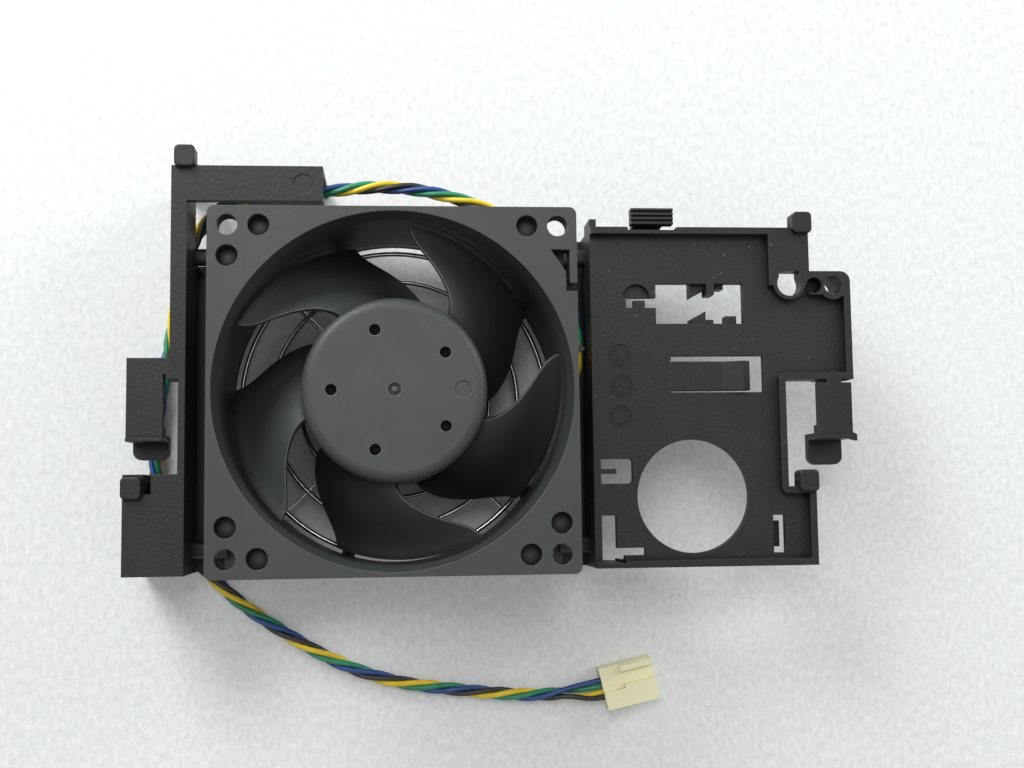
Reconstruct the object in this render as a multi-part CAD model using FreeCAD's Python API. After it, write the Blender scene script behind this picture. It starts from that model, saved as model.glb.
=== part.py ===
"""Server fan module: an 80 mm axial fan in a moulded carrier, with its wire guard and twisted lead.

Millimetres. The model is laid out round the fan's axis (X = Y = 0) with the intake facing +Z and
z = 0 at the surface that the module rests on. The export moves it so that its origin is the
centre of its footprint.
"""
import FreeCAD, Part
import math
import os

V = FreeCAD.Vector
UP = V(0, 0, 1)
os.makedirs("parts", exist_ok=True)

# ---------------------------------------------------------------- fan housing
DUCT_R = 38.2               # bore of the round duct, which sets the fan's size
FLANGE_EDGE = 1.8           # bore to the side of the square flanges
FAN_DEPTH = 38.0
FAN_REST = 7.0              # rear flange above the rest surface
FLANGE = 5.0                # thickness of each flange
FLANGE_CORNER = 1.6
HOLE_EDGE = 4.25            # corner holes inside the flange's sides
HOLE_D = 4.5
NUB_Y = 8.8                 # small ratchet nub on the front flange's side
NUB_H = 2.9
NUB_OUT = 1.6
NUB_SHORT = 1.5             # nub ends below the front face
POCKET_D = 4.7              # blind pockets beside the corner holes
POCKET_OFFSET = 6.7
POCKET_DEPTH = 3.2
NOTCH_RISE = 1.5            # wire notch's upper end above the pockets beside it
NOTCH_L = 8.0
NOTCH_IN = 2.5              # its slot inside the flange's side
NOTCH_LIP = 1.6             # lip that keeps the lead in it
NOTCH_MOUTH_LOW = 9.2
NOTCH_MOUTH_W = 1.8
FUNNEL_IN = 5.8             # sloping lead-in beside the notch
FUNNEL_LIP = 2.0
FUNNEL_L = 5.6
DUCT_WALL = 1.4
MOUTH_FLARE = 0.8           # bell mouth at the intake face
MOUTH_DEPTH = 7.0
MOUTH_CURVE = ((0.7, 0.1), (0.4, 0.35))  # share of its depth and flare there
REAR_EASE = 0.5             # bore eased at the rear face
REAR_EASE_DEPTH = 4.0
STRUTS = 5
STRUT_FIRST = 36.0          # degrees
STRUT_T = 2.2
STRUT_H = 8.0
STRUT_LEAN = 1.6            # sideways lean of a strut over its height
STRUT_ROOT = 0.6            # into the motor base and the duct's wall
BASE_IN = 0.65              # motor base inside the hub's side
BASE_T = 2.6
BASE_RIM = 1.4
BASE_RIM_H = 5.0
BASE_FLOOR = 1.2            # closed floor under the bearing tube

# ---------------------------------------------------------------- impeller
HUB_R = 20.15
HUB_WALL = 1.9
HUB_TOP_T = 2.0
HUB_EDGE = 2.4
HUB_RECESS = 0.5            # hub face below the intake face
HUB_SKIRT = 8.0             # open end of the hub above the rear of the fan
HUB_HOLES = 5
HUB_HOLE_R = 1.25
HUB_HOLE_IN = 6.55          # hole circle inside the hub's side
HUB_HOLE_DEPTH = 1.4
HUB_HOLE_FIRST = 36.0       # degrees
HUB_GATE_R = 1.4            # ring left by the moulding gate
HUB_GATE_IN_R = 0.55
HUB_GATE_DEPTH = 0.35
HUB_MARK_DEPTH = 0.15
HUB_MARK_R = 1.9
HUB_MARK_IN = 5.35
BLADES = 5
BLADE_FIRST = 126.0         # degrees, root of a leading edge
TIP_GAP = 1.1               # blade tip to duct
BLADE_SWEEP = 30.6          # degrees the leading edge gains from root to tip
CHORD_ROOT = 57.0           # degrees round the axis
CHORD_TIP = 52.0
BLADE_FRONT = 4.6           # leading edge below the intake face
BLADE_DIP = 1.6             # further drop of the leading edge at the tip
BLADE_REAR = 9.6            # trailing edge above the rear of the fan
BLADE_T_ROOT = 2.0
BLADE_T_TIP = 1.1
BLADE_CAMBER_SHARE = 0.30
BLADE_BEND_SHARE = 0.7      # share of the sweep that comes near the tip
BLADE_NOSE_SHARE = 0.45     # edge thickness as a share of the middle's
BLADE_NOSE_AT_SHARE = 0.12  # where the thickness curve starts, in half turns
BLADE_SPANS = 6
BLADE_STEPS = 8

# ---------------------------------------------------------------- motor
FIT = 0.05                  # radial running fit
YOKE_T = 1.0
YOKE_SHORT = 0.6            # cup's edge inside the hub's open end
YOKE_NECK = 1.2             # boss neck through the cup
MAGNET_T = 1.7
MAGNET_SHORT = 1.4
MAGNET_TOP_GAP = 2.5
AIR_GAP = 0.45
TUBE_R = 4.9
SHAFT_R = 1.5
SHAFT_UP = 0.4              # shaft's end above the tube's floor
GROOVE_GAP = 0.05           # clip's groove below the rear bearing
GROOVE_DEPTH = 0.35
BEARING_R = 4.0
BEARING_W = 4.0
RACE_T = 0.75
INNER_RACE_T = 0.6
SHOULDER = 0.1              # tube's shoulder between the bearings
BALL_R = 0.62
BALLS = 7
REAR_BEARING_UP = 1.8       # above the tube's floor
FRONT_BEARING_UP = 24.0     # above the rear of the fan
BOSS_GAP = 2.4              # tube's end to the shaft boss
CORE_UP = 12.5              # stack above the rear of the fan
SOCKET_T = 3.6              # motor base round the bearing tube
SOCKET_RIM = 2.2
CORE_H = 12.0
CORE_TEETH = 4
TOOTH_FIRST = 45.0          # degrees
TOOTH_SHORT = 0.6           # straight part inside the tip's face
CORE_HUB_R = 6.6
TOOTH_W = 4.0
TOOTH_TIP_T = 1.6
TOOTH_TIP_ANGLE = 74.0
BOBBIN_T = 0.7
COIL_T = 2.4
COIL_SIDE_SHARE = 0.7       # coil's side and rounding as shares of its thickness
COIL_ROUND_SHARE = 0.65
COIL_START = 0.6            # coil's start outside the bobbin's collar
COIL_GAP = 0.1              # between neighbours
CHEEK_T = 0.8               # bobbin's outer cheek
CHEEK_OUT = 2.2
CHEEK_RISE = 2.4
COLLAR_LOW = 1.2
COLLAR_TOP = 0.6
LEG_R = 0.9                 # bobbin's legs on the board
LEG_CIRCLE = 5.9
BOARD_CLEAR = 0.9           # board to the motor base's rim
BOARD_T = 1.2
BOARD_BORE_GAP = 0.3
BOARD_LIFT = 4.4            # board above the rear of the fan
CHIP_W = 4.0                # motor driver chip
CHIP_L = 5.2
CHIP_H = 1.5
SENSOR_L = 2.2
SENSOR_W = 3.2
SENSOR_H = 1.2
SENSOR_AT = 90.0            # degrees
SENSOR_IN = 1.32            # sensor's middle inside the board's edge
SMALL_W = 1.4               # small chips
SMALL_H = 0.7
SMALL_AT = (60, 125, 150, 205, 240, 300)
PAD_R = 0.5                 # soldered ends of the lead
PAD_H = 2.2
PAD_EDGE = 2.6
PAD_FIRST = 315.0
PAD_STEP = 7.0
BOARD_POST_R = 1.2
BOARD_POSTS = 3
BOARD_POST_FIRST = 20.0
POST_EDGE = 1.6
BOSS_R = 4.6
BOSS_END_SHARE = 0.7        # its lower end as a share of its radius
BOSS_EASE = 1.2
WASHER_SHARE = 0.62         # washer's rim as a share of the boss
WASHER_T = 0.45
WASHER_LIP = 0.3
CLIP_T = 0.5
CLIP_OUT = 0.9              # clip outside the shaft
CLIP_IN = 0.3               # and into its groove
CLIP_MOUTH_SHARE = 0.7      # half its mouth as a share of the shaft

# ---------------------------------------------------------------- finger guard
WIRE_D = 1.2
GUARD_RINGS = 4
GUARD_IN = 1.2              # outer ring inside the duct's bore
GUARD_RING_STEP = 7.0
GUARD_LEG_OVER = 1.4        # legs past the inner ring
GUARD_SINK = 0.12           # rings welded into the legs
GUARD_EYE_GAP = 0.1         # eye round the screw shank
GUARD_LEGS = 4
GUARD_FIRST = 45.0          # degrees
SCREW_SHANK_D = 4.3
SCREW_HEAD_D = 7.6
SCREW_HEAD_H = 2.0
SCREW_LEN = 10.0
SCREW_TIP = 1.5             # tapered end
SCREW_TIP_R = 1.0
SCREW_CROSS_W = 0.9
SCREW_HEAD_ROUND = 0.8

# ---------------------------------------------------------------- carrier
DECK_TOP = 25.0             # top of the carrier's rims above the rest surface
SKIN = 2.0                  # top skin
WALL = 1.6
SEAT_T = 2.0                # plate that the fan's rear flange stands on
SEAT_CLEAR = 0.4            # its bore outside the duct's
SEAT_HOLE_D = 5.0
SEAT_BAY_W = 4.2            # corner beside the rail where the lead turns in
RAIL_GAP = 9.0              # left rail's outer face beside the fan
RAIL_TOP_GAP = 13.9         # arm's outer face above the fan
RAIL_LOW_GAP = 0.1          # rail's lower end below the fan
RAIL_LIP = 2.0              # overhang of the rail's top over the lead
RAIL_LIP_END_Y = 5.0
ARM_W = 8.3
ARM_L = 34.6
ARM_INNER_L = 17.6          # length of the arm's inner wall
ARM_INNER_T = 1.3
ARM_FOOT = 3.0              # feet at both ends of the arm's outer wall
ARM_WINDOW_H = 14.0         # light opening between them
LEAD_PASS_IN = 6.5          # opening in the rail wall for the lead
LEAD_PASS_H = 11.5
BLOCK_W = 12.1              # lower left block, outside the rail
BLOCK_H = 22.9
BLOCK_SLOT_IN = 4.6
BLOCK_SLOT_W = 1.7
BLOCK_SLOT_L = 4.5
BLOCK_PASS_H = 8.0          # lead passes under the block's upper wall
LEAD_EXIT_H = 5.6
LEAD_EXIT_L = 2.0
TRAY_GAP = 6.2              # room for the lead between the fan and the tray
TRAY_STEP_L = 52.4          # the tray's lower width
TRAY_L = 62.3               # and its width at the right latch
TRAY_STEP_DROP = 10.5
TRAY_CORNER = 2.4
TRAY_RIM_H = 6.0            # depth of the tray's rims below the deck
GUSSET_L = 12.0             # full-depth wall at the fan tapers up over this length
GUSSET_FOOT = 3.0
GAP_IN = 45.8               # gap beside the right latch, from the tray's left face
GAP_TOP_Y = 3.6
GAP_UP = 18.4               # its lower end above the tray's lower edge
RECESS = 2.4                # tray floor below its rims
PAD_IN = 42.6               # raised land at the tray's upper right corner
PAD_DROP = 13.9
PAD_STEP = 2.2
SPEAKER_IN = 23.5
SPEAKER_UP = 16.4           # above the tray's lower edge
SPEAKER_R = 13.3
SPEAKER_SEAT = 0.8
SPEAKER_WALL = 1.2
SPEAKER_WALL_H = 2.0
SCREW_BOSS_IN = 58.15
SCREW_BOSS_R = 3.4
SCREW_BOSS_HOLE_R = 2.1
SCREW_BOSS_H = 10.0
LOCATOR_IN = 47.5           # large locating hole with a keyed notch
LOCATOR_UP = 0.4            # above the screw boss
LOCATOR_R = 2.95
LOCATOR_COLLAR = 0.9
LOCATOR_NOTCH_W = 5.0
LOCATOR_NOTCH_H = 3.05
DIMPLE_IN = 53.5            # blind recess between locator and screw boss
DIMPLE_R = 1.9
DIMPLE_DEPTH = 3.0
POST_W = 4.7                # four low locating posts that stand out over the rims
POST_L = 5.1
POST_H = 1.5
POST_ROUND = 1.1
POST_TOP_SHARE = 0.36       # as a share of the upright rounding
POST_INSETS = ((1.1, 2.0), (-1.75, 1.1), (2.1, -3.1), (-2.0, 1.3))  # from the corners they mark
POST_ROOT = 3.0             # post below the deck
HOOK_W = 4.0                # fingers that hold the fan's rear flange
HOOK_T = 2.2
HOOK_GRIP = 0.9
HOOK_IN = 5.4
HOOK_CLEAR = 0.2
HOOK_ROUND_SHARE = 0.6      # rounding as a share of a finger's thickness
MARK_R = 2.3                # round ejector mark on the arm
MARK_DEPTH = 0.15
MARK_FROM_END = 4.6
KEY_IN = 15.6               # keyed window
KEY_L = 21.1
KEY_DROP = 22.8
KEY_W = 9.6
KEYWAY_L = 7.15
KEYWAY_W = 2.45
KEYWAY_UP = 3.8
KEY_PEG_L = 2.7
KEY_PEG_W = 1.75
KEY_PEG_OUT = 5.3
KEY_EYE_R = 3.2
KEY_EYE_OUT = 4.7
KEY_EYE_DEPTH = 1.0
KEY_RIB_H = 3.0             # wedges and stops reach this far below the skin
KEY_WEDGE_IN = 8.6
KEY_WEDGE_L = 3.7
KEY_WEDGE_REACH = 3.2
KEY_WEDGE_TIP = 1.2
KEY_STOP_W = 1.85
KEY_STOP_REACH = 2.65
KEY_NUB_REACH = 1.15
KEY_NUB_STEP = 0.7
KEY_ROOT = 0.6              # wedges and stops run into the floor
KEY_END_STOP_IN = 17.15
KEY_END_STOP_W = 2.55
KEY_END_STOP_REACH = 2.0
U_SLOT_L = 7.5              # U-shaped slot round a small tongue
U_SLOT_W = 5.8
U_SLOT_UP = 19.5
U_SLOT_ROUND = 1.0
TONGUE_L = 3.6
TONGUE_W = 1.1
L_SLOT_W = 3.4              # L-shaped slot in the lower left corner
L_SLOT_H = 11.0
L_SLOT_EDGE = 1.1
SLOT_OFF_WALL = 0.1         # slots beside the tray's left wall
L_FOOT_L = 10.1
L_FOOT_W = 1.75
L_FOOT_UP = 2.8
L_TOE_L = 5.2
G_SLOT_IN = 42.45           # small slot with a bar below it
G_SLOT_L = 2.9
G_SLOT_H = 8.8
G_SLOT_UP = 2.9
G_BAR_T = 2.0
G_BAR_W = 2.2
G_BAR_H = 6.1
RIB_T = 1.2                 # stiffening ribs under the tray
RIB_H = 2.4
EAR_H = 2.3                 # small ear at the tray's upper left corner
EAR_DROP = 11.0

# ---------------------------------------------------------------- latches
LATCH_W = 8.2
LATCH_T = 2.0
LATCH_WALL = 1.5
LATCH_DROP = 8.5            # the foot below the plate
FOOT_T = 2.6
FOOT_ROUND = 2.0
KNUCKLE_R = 1.9
KNUCKLE_OUT = 0.6           # left root beside its latch
LATCH_DEPTH = 8.0           # depth of the flexing root
SOCKET_WALL = 1.0           # carrier round a root
ROOT_CLEAR = 0.4            # below a root
LATCH_SIDE = 0.3            # beside the snap finger
L_LATCH_OUT = 11.5          # left latch's outer face outside the rail
L_LATCH_CLEAR = 3.5         # its foot above the block
L_FOOT_REACH = 3.9
L_LATCH_L = 19.0
L_NECK_L = 2.6
R_NECK_HALF_SHARE = 0.9     # right latch's neck, as shares of its knuckle's radius
R_NECK_UP_SHARE = 1.2
R_NECK_LOW_SHARE = 0.42
R_LATCH_IN = 0.6            # right latch inside the tray's right face
R_LATCH_L = 14.1            # below the gap's upper end
R_FOOT_REACH = 5.9
LATCH_GAP = 0.8
LIP_T = 0.8                 # thumb lip at a latch's end
LIP_UP = 0.7
BRACE_W = 2.6
BARB = 1.0
GRIP_IN = 14.7              # ribbed release latch on the tray's upper edge
GRIP_W = 10.1
GRIP_LEAF_IN = 1.5          # leaf narrower than the head, each side
GRIP_LEAF_T = 1.4
GRIP_NOTCH = 0.7            # rim cut back behind the head
GRIP_CLEAR = 1.3            # leaf to panel
GRIP_DROP = 8.5             # root of the leaf below the deck
GRIP_HEAD_H = 3.0
GRIP_HEAD_OUT = 4.5
GRIP_HEAD_IN = 0.6
GRIP_RIDGES = 3
GRIP_RIDGE_DEPTH = 0.6
GRIP_RIDGE_SHARE = 0.55     # ridge's share of the pitch; the groove has the rest
GRIP_HOOK = 1.2
GRIP_HOOK_UP = 4.5
GRIP_HOOK_H = 3.0
GRIP_PANEL = 1.5            # panel wider than the leaf, each side
FINGER_IN = 18.9            # long window and its sprung finger
FINGER_WINDOW_L = 22.3
FINGER_WINDOW_Y = 0.8
FINGER_WINDOW_W = 8.7
FINGER_L = 18.8
FINGER_W = 6.9
FINGER_LOW = 0.45           # finger above the window's lower edge
FINGER_HOOK_L = 6.4
FINGER_HOOK_H = 1.8
FINGER_HOOK_TIP = 2.0
FINGER_HOOK_ROOT = 0.5

# ---------------------------------------------------------------- lead and plug
LEAD_D = 3.2
OUTLET_CLEAR = 0.6          # lead to its groove in the flange
PLUG_L = 13.0
PLUG_W = 10.2
PLUG_H = 5.8
PLUG_WAYS = 4
PLUG_RIB_H = 1.2            # ribs and ledge above the plug's valley
PLUG_RIB_W = 1.5
PLUG_RIB_EDGE = 0.3
PLUG_RIB_X = 4.95
PLUG_LEDGE_W = 4.35         # ledge along the plug's lower side
PLUG_STEP_W = 5.33          # the ledge is wider from here on
PLUG_STEP_X = 5.35
PLUG_MOUTH_W = 8.8          # shallow mouth where the wires go in
PLUG_MOUTH_H = 2.4
PLUG_MOUTH_DEPTH = 1.6
PLUG_WIRE_R = 0.75
PLUG_EDGE_ROUND = 0.3
PLUG_CAVITY_W = 1.7
PLUG_CAVITY_Z0 = 1.3
PLUG_CAVITY_Z1 = 3.6
PLUG_CAVITY_X = 3.0
PLUG_WINDOW_L = 3.0         # contact's latch window underneath
CONTACT_FIT = 0.1
CONTACT_SHORT = 1.2
CONTACT_BORE_X = 7.8        # open socket of a contact starts here
CONTACT_BORE_SHARE = 1.2    # its width as a multiple of half the contact's
PLUG_PITCH = 2.54
PLUG_ANGLE = 12.3
SAME = 1e-6                 # places closer than this are the same
ALONG = 0.9                 # edges that run with an axis to this much of their length
ROUTE_ARC_SHARE = 0.45      # share of a run that its corner's arc may take
# the two routes below are laid for a fan and a rail of these places, and move with them
LAID_HALF = 40.0
LAID_RAIL = 49.0
LAID_REST = 7.0
LAID_EDGE = 33.0            # points beyond this move by the whole change
LAID_LOW = 3.0              # points below this lie on the rest surface
LAID_HIGH = 9.0
# hand-laid route of the lead that the carrier holds
HELD_ROUTE = [
    (36.4, -19.4, 9.6), (40.6, -13.0, 10.8), (42.2, -4.5, 12.8), (43.2, 5.2, 13.6),
    (44.1, 14.9, 14.6), (41.9, 24.7, 15.6), (37.9, 33.4, 16.4), (32.2, 40.6, 16.4),
    (24.8, 45.2, 16.0), (15.7, 48.7, 15.3), (6.0, 51.0, 15.0), (-3.9, 51.7, 15.0),
    (-13.7, 50.6, 15.0), (-23.4, 49.8, 14.6), (-33.1, 49.5, 13.8), (-41.8, 47.3, 11.6),
    (-47.9, 41.0, 7.6), (-51.9, 33.0, 4.0), (-54.1, 23.7, 2.6), (-55.8, 13.9, 2.3),
    (-57.0, 4.0, 2.2), (-57.7, -5.8, 2.2), (-57.7, -15.6, 2.2), (-56.3, -25.2, 2.1),
    (-52.0, -33.4, 2.0), (-46.2, -39.5, 1.9),
]
# hand-laid route of its free end, out to the plug
FREE_ROUTE = [
    (-46.2, -39.5, 1.9), (-40.4, -45.6, 1.8), (-33.4, -51.0, 1.75), (-25.4, -56.2, 1.75),
    (-17.0, -61.2, 1.75), (-7.8, -65.3, 1.75), (2.2, -68.1, 1.75), (12.6, -69.5, 1.75),
    (23.0, -70.8, 1.75), (33.2, -71.6, 1.8), (42.2, -71.2, 2.3), (50.2, -70.3, 2.9),
]

# ---------------------------------------------------------------- levels worked out from the above
HALF = DUCT_R + FLANGE_EDGE
HOLE_AT = HALF - HOLE_EDGE
MOUTH_R = DUCT_R + MOUTH_FLARE
BASE_R = HUB_R - BASE_IN
HUB_HOLE_CIRCLE = HUB_R - HUB_HOLE_IN
HUB_MARK_CIRCLE = HUB_R - HUB_MARK_IN
GUARD_RING_OUT = DUCT_R - GUARD_IN
GUARD_LEG_IN = GUARD_RING_OUT - (GUARD_RINGS - 1) * GUARD_RING_STEP - GUARD_LEG_OVER
FAN_FRONT = FAN_REST + FAN_DEPTH
REAR_FLANGE_TOP = FAN_REST + FLANGE
SEAT_Z = FAN_REST - SEAT_T
DUCT_OUT_R = DUCT_R + DUCT_WALL
HUB_TOP = FAN_FRONT - HUB_RECESS
HUB_OPEN = FAN_REST + HUB_SKIRT
HUB_IN_R = HUB_R - HUB_WALL
YOKE_TOP = HUB_TOP - HUB_TOP_T
MAGNET_OUT_R = HUB_IN_R - YOKE_T
MAGNET_IN_R = MAGNET_OUT_R - MAGNET_T
STATOR_R = MAGNET_IN_R - AIR_GAP
TIP_R = DUCT_R - TIP_GAP
TUBE_FLOOR = FAN_REST + BASE_FLOOR
REAR_BEARING_Z = TUBE_FLOOR + REAR_BEARING_UP
FRONT_BEARING_Z = FAN_REST + FRONT_BEARING_UP
TUBE_TOP = FRONT_BEARING_Z + BEARING_W
BOSS_Z = TUBE_TOP + BOSS_GAP
CORE_Z = FAN_REST + CORE_UP
BOARD_Z = FAN_REST + BOARD_LIFT
SEAT_BORE_R = DUCT_R + SEAT_CLEAR
BOARD_R = BASE_R - BASE_RIM - BOARD_CLEAR
RAIL_X = -HALF - RAIL_GAP
RAIL_TOP_Y = HALF + RAIL_TOP_GAP
RAIL_BOTTOM_Y = -HALF - RAIL_LOW_GAP
LEAD_PASS_Y0 = HALF - LEAD_PASS_IN
HOOK_Y = HALF - HOOK_IN
ARM_IN_Y = RAIL_TOP_Y - ARM_W
ARM_END_X = RAIL_X - RAIL_LIP + ARM_L
ARM_WALL_START_X = ARM_END_X - ARM_INNER_L
BLOCK_X = RAIL_X - BLOCK_W
BLOCK_TOP_Y = RAIL_BOTTOM_Y + BLOCK_H
BLOCK_SLOT_X = BLOCK_X + BLOCK_SLOT_IN
LEAD_EXIT_X = RAIL_X - LEAD_EXIT_L
TRAY_X = HALF + TRAY_GAP
TRAY_TOP_Y = HALF
TRAY_BOTTOM_Y = -HALF
TRAY_STEP_Y = TRAY_TOP_Y - TRAY_STEP_DROP
TRAY_STEP_X = TRAY_X + TRAY_STEP_L
TRAY_RIGHT_X = TRAY_X + TRAY_L
RIM_Z = DECK_TOP - TRAY_RIM_H
GAP_X = TRAY_X + GAP_IN
GAP_BOTTOM_Y = TRAY_BOTTOM_Y + GAP_UP
PAD_X = TRAY_X + PAD_IN
PAD_Y = TRAY_TOP_Y - PAD_DROP
PAD_STEP_Y = PAD_Y - PAD_STEP
SPEAKER_X = TRAY_X + SPEAKER_IN
SPEAKER_Y = TRAY_BOTTOM_Y + SPEAKER_UP
SCREW_BOSS_X = TRAY_X + SCREW_BOSS_IN
SCREW_BOSS_Y = PAD_Y
LOCATOR_X = TRAY_X + LOCATOR_IN
LOCATOR_Y = SCREW_BOSS_Y + LOCATOR_UP
KEY_X0 = TRAY_X + KEY_IN
KEY_Y0 = TRAY_TOP_Y - KEY_DROP
FINGER_X0 = TRAY_X + FINGER_IN
GRIP_X = TRAY_X + GRIP_IN
GRIP_ROOT_Z = DECK_TOP - GRIP_DROP
GRIP_LEAF_W = GRIP_W - 2 * GRIP_LEAF_IN
L_LATCH_X = RAIL_X - L_LATCH_OUT
R_LATCH_X = TRAY_RIGHT_X - R_LATCH_IN - LATCH_W
POST_CORNERS = ((RAIL_X, RAIL_TOP_Y), (TRAY_STEP_X, TRAY_TOP_Y), (BLOCK_X, BLOCK_TOP_Y),
                (TRAY_STEP_X, GAP_BOTTOM_Y))
POSTS = tuple((x + dx, y + dy) for (x, y), (dx, dy) in zip(POST_CORNERS, POST_INSETS))
MOUTH_POINTS = [(DUCT_R + flare, FAN_FRONT - MOUTH_DEPTH * share) for share, flare in MOUTH_CURVE]
DECK_UNDER = DECK_TOP - SKIN
FLOOR_TOP = DECK_TOP - RECESS
FLOOR_UNDER = FLOOR_TOP - SKIN
WIRE_R = WIRE_D / 2
LEG_Z = SEAT_Z - WIRE_R
RING_Z = LEG_Z + WIRE_D
EYE_R = SCREW_SHANK_D / 2 + GUARD_EYE_GAP + WIRE_R
SCREW_SEAT = LEG_Z - WIRE_R
L_FOOT_END_Y = BLOCK_TOP_Y + L_LATCH_CLEAR
L_LATCH_END_Y = L_FOOT_END_Y + L_FOOT_REACH
L_LATCH_TOP_Y = L_LATCH_END_Y + L_LATCH_L
R_LATCH_END_Y = GAP_TOP_Y - R_LATCH_L
R_FOOT_END_Y = R_LATCH_END_Y - R_FOOT_REACH
L_HINGE_Y = L_LATCH_TOP_Y - KNUCKLE_R
L_HINGE_X = L_LATCH_X + LATCH_W + KNUCKLE_OUT
R_HINGE_X = R_LATCH_X + LATCH_W / 2
R_HINGE_Y = GAP_TOP_Y
L_LATCH_RIGHT = L_LATCH_X + LATCH_W
R_LATCH_RIGHT = R_LATCH_X + LATCH_W
LATCH_Z = DECK_TOP - LATCH_T
FOOT_Z = DECK_TOP - LATCH_DROP
ROOT_Z = DECK_TOP - LATCH_DEPTH
GRIP_Y = TRAY_TOP_Y + GRIP_CLEAR
FINGER_Y = FINGER_WINDOW_Y + FINGER_LOW
FINGER_PIVOT_Z = FLOOR_TOP - SKIN / 2


def laid(route):
    """A hand-laid route moved with the fan's sides, the rail and the fan's height."""
    right, left, lift = HALF - LAID_HALF, -RAIL_X - LAID_RAIL, FAN_REST - LAID_REST
    placed = []
    for x, y, z in route:
        u, v = (max(-1.0, min(1.0, c / LAID_EDGE)) for c in (x, y))
        w = max(0.0, min(1.0, (z - LAID_LOW) / (LAID_HIGH - LAID_LOW)))
        placed.append((x + u * (left if u < 0 else right), y + v * right, z + w * lift))
    return placed


LEAD_HELD = laid(HELD_ROUTE)
LEAD_FREE = laid(FREE_ROUTE)
PLUG_X, PLUG_Y = LEAD_FREE[-1][:2]      # centre of the plug's rear face, where the wires go in


# ================================================================ helpers
def box(x0, x1, y0, y1, z0, z1):
    """Block between two corners."""
    return Part.makeBox(x1 - x0, y1 - y0, z1 - z0, V(x0, y0, z0))


def rod(r, z0, z1, x=0.0, y=0.0):
    """Upright cylinder."""
    return Part.makeCylinder(r, z1 - z0, V(x, y, z0), UP)


def ring(r_out, r_in, z0, z1, x=0.0, y=0.0):
    """Upright tube."""
    return rod(r_out, z0, z1, x, y).cut(rod(r_in, z0 - 1, z1 + 1, x, y))


def prism(points, z0, z1):
    """Upright block on a polygon outline."""
    corners = [V(x, y, z0) for x, y in points]
    return Part.Face(Part.makePolygon(corners + corners[:1])).extrude(V(0, 0, z1 - z0))


def turned(profile):
    """Solid of revolution round the fan axis from (radius, z) points."""
    corners = [V(r, 0, z) for r, z in profile]
    return Part.Face(Part.makePolygon(corners + corners[:1])).revolve(V(0, 0, 0), UP, 360)


def spun(shape, angle, x=0.0, y=0.0):
    """Copy turned about an upright axis."""
    copy = shape.copy()
    copy.rotate(V(x, y, 0), UP, angle)
    return copy


def polar(r, degrees, z=0.0):
    """Point at a radius and an angle round the fan axis."""
    a = math.radians(degrees)
    return V(r * math.cos(a), r * math.sin(a), z)


def upright_edges(shape, z0, z1):
    """Straight vertical edges of a shape between two levels."""
    found = []
    for edge in shape.Edges:
        a, b = edge.firstVertex().Point, edge.lastVertex().Point
        if abs(a.x - b.x) < 1e-6 and abs(a.y - b.y) < 1e-6 and abs(a.z - b.z) > 0.1:
            if min(a.z, b.z) > z0 - 1e-3 and max(a.z, b.z) < z1 + 1e-3:
                found.append(edge)
    return found


def rounded_box(x0, x1, y0, y1, z0, z1, r):
    """Block with rounded upright edges."""
    block = box(x0, x1, y0, y1, z0, z1)
    return block.makeFillet(r, upright_edges(block, z0, z1))


def joined(shapes):
    """One solid from shapes that overlap."""
    whole = shapes[0].fuse(shapes[1:])
    return whole.removeSplitter()


def corner_signs():
    """The four corners of the fan."""
    return [(sx, sy) for sx in (-1, 1) for sy in (-1, 1)]


# ================================================================ fan housing
def flange(z0):
    """One square flange with its corner holes."""
    plate = rounded_box(-HALF, HALF, -HALF, HALF, z0, z0 + FLANGE, FLANGE_CORNER)
    holes = [rod(HOLE_D / 2, z0 - 1, z0 + FLANGE + 1, sx * HOLE_AT, sy * HOLE_AT)
             for sx, sy in corner_signs()]
    return plate.cut(holes)


def pockets():
    """Blind pockets on both sides of each corner hole, but for the one the wire notch takes."""
    tools = []
    z0 = FAN_FRONT - POCKET_DEPTH
    inner = HOLE_AT - POCKET_OFFSET
    for sx, sy in corner_signs():
        tools.append(rod(POCKET_D / 2, z0, FAN_FRONT + 1, sx * inner, sy * HOLE_AT))
        if (sx, sy) != (1, 1):
            tools.append(rod(POCKET_D / 2, z0, FAN_FRONT + 1, sx * HOLE_AT, sy * inner))
    return tools


def wire_notch():
    """Hooked slot that the front flange has for its lead, with a sloping lead-in."""
    z0 = FAN_FRONT - FLANGE - 1
    top = HOLE_AT - POCKET_OFFSET + NOTCH_RISE
    slot = box(HALF - NOTCH_IN, HALF - NOTCH_LIP, top - NOTCH_L, top, z0, FAN_FRONT + 1)
    mouth_y = top - NOTCH_MOUTH_LOW
    mouth = box(HALF - NOTCH_IN, HALF + 1, mouth_y, mouth_y + NOTCH_MOUTH_W, z0, FAN_FRONT + 1)
    funnel_x = HALF - FUNNEL_LIP
    lead_in = prism([(HALF - FUNNEL_IN, top), (funnel_x, top), (funnel_x, top - FUNNEL_L)],
                    FAN_FRONT - POCKET_DEPTH, FAN_FRONT + 1)
    return [slot, mouth, lead_in]


def duct():
    """Round duct between the flanges, bell-mouthed at the intake and eased at the rear."""
    z0, z1 = FAN_REST, FAN_FRONT
    return turned([(DUCT_R + REAR_EASE, z0), (DUCT_OUT_R, z0), (DUCT_OUT_R, z1), (MOUTH_R, z1)]
                  + MOUTH_POINTS[::-1] + [(DUCT_R, z1 - MOUTH_DEPTH), (DUCT_R, z0 + REAR_EASE_DEPTH)])


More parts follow.
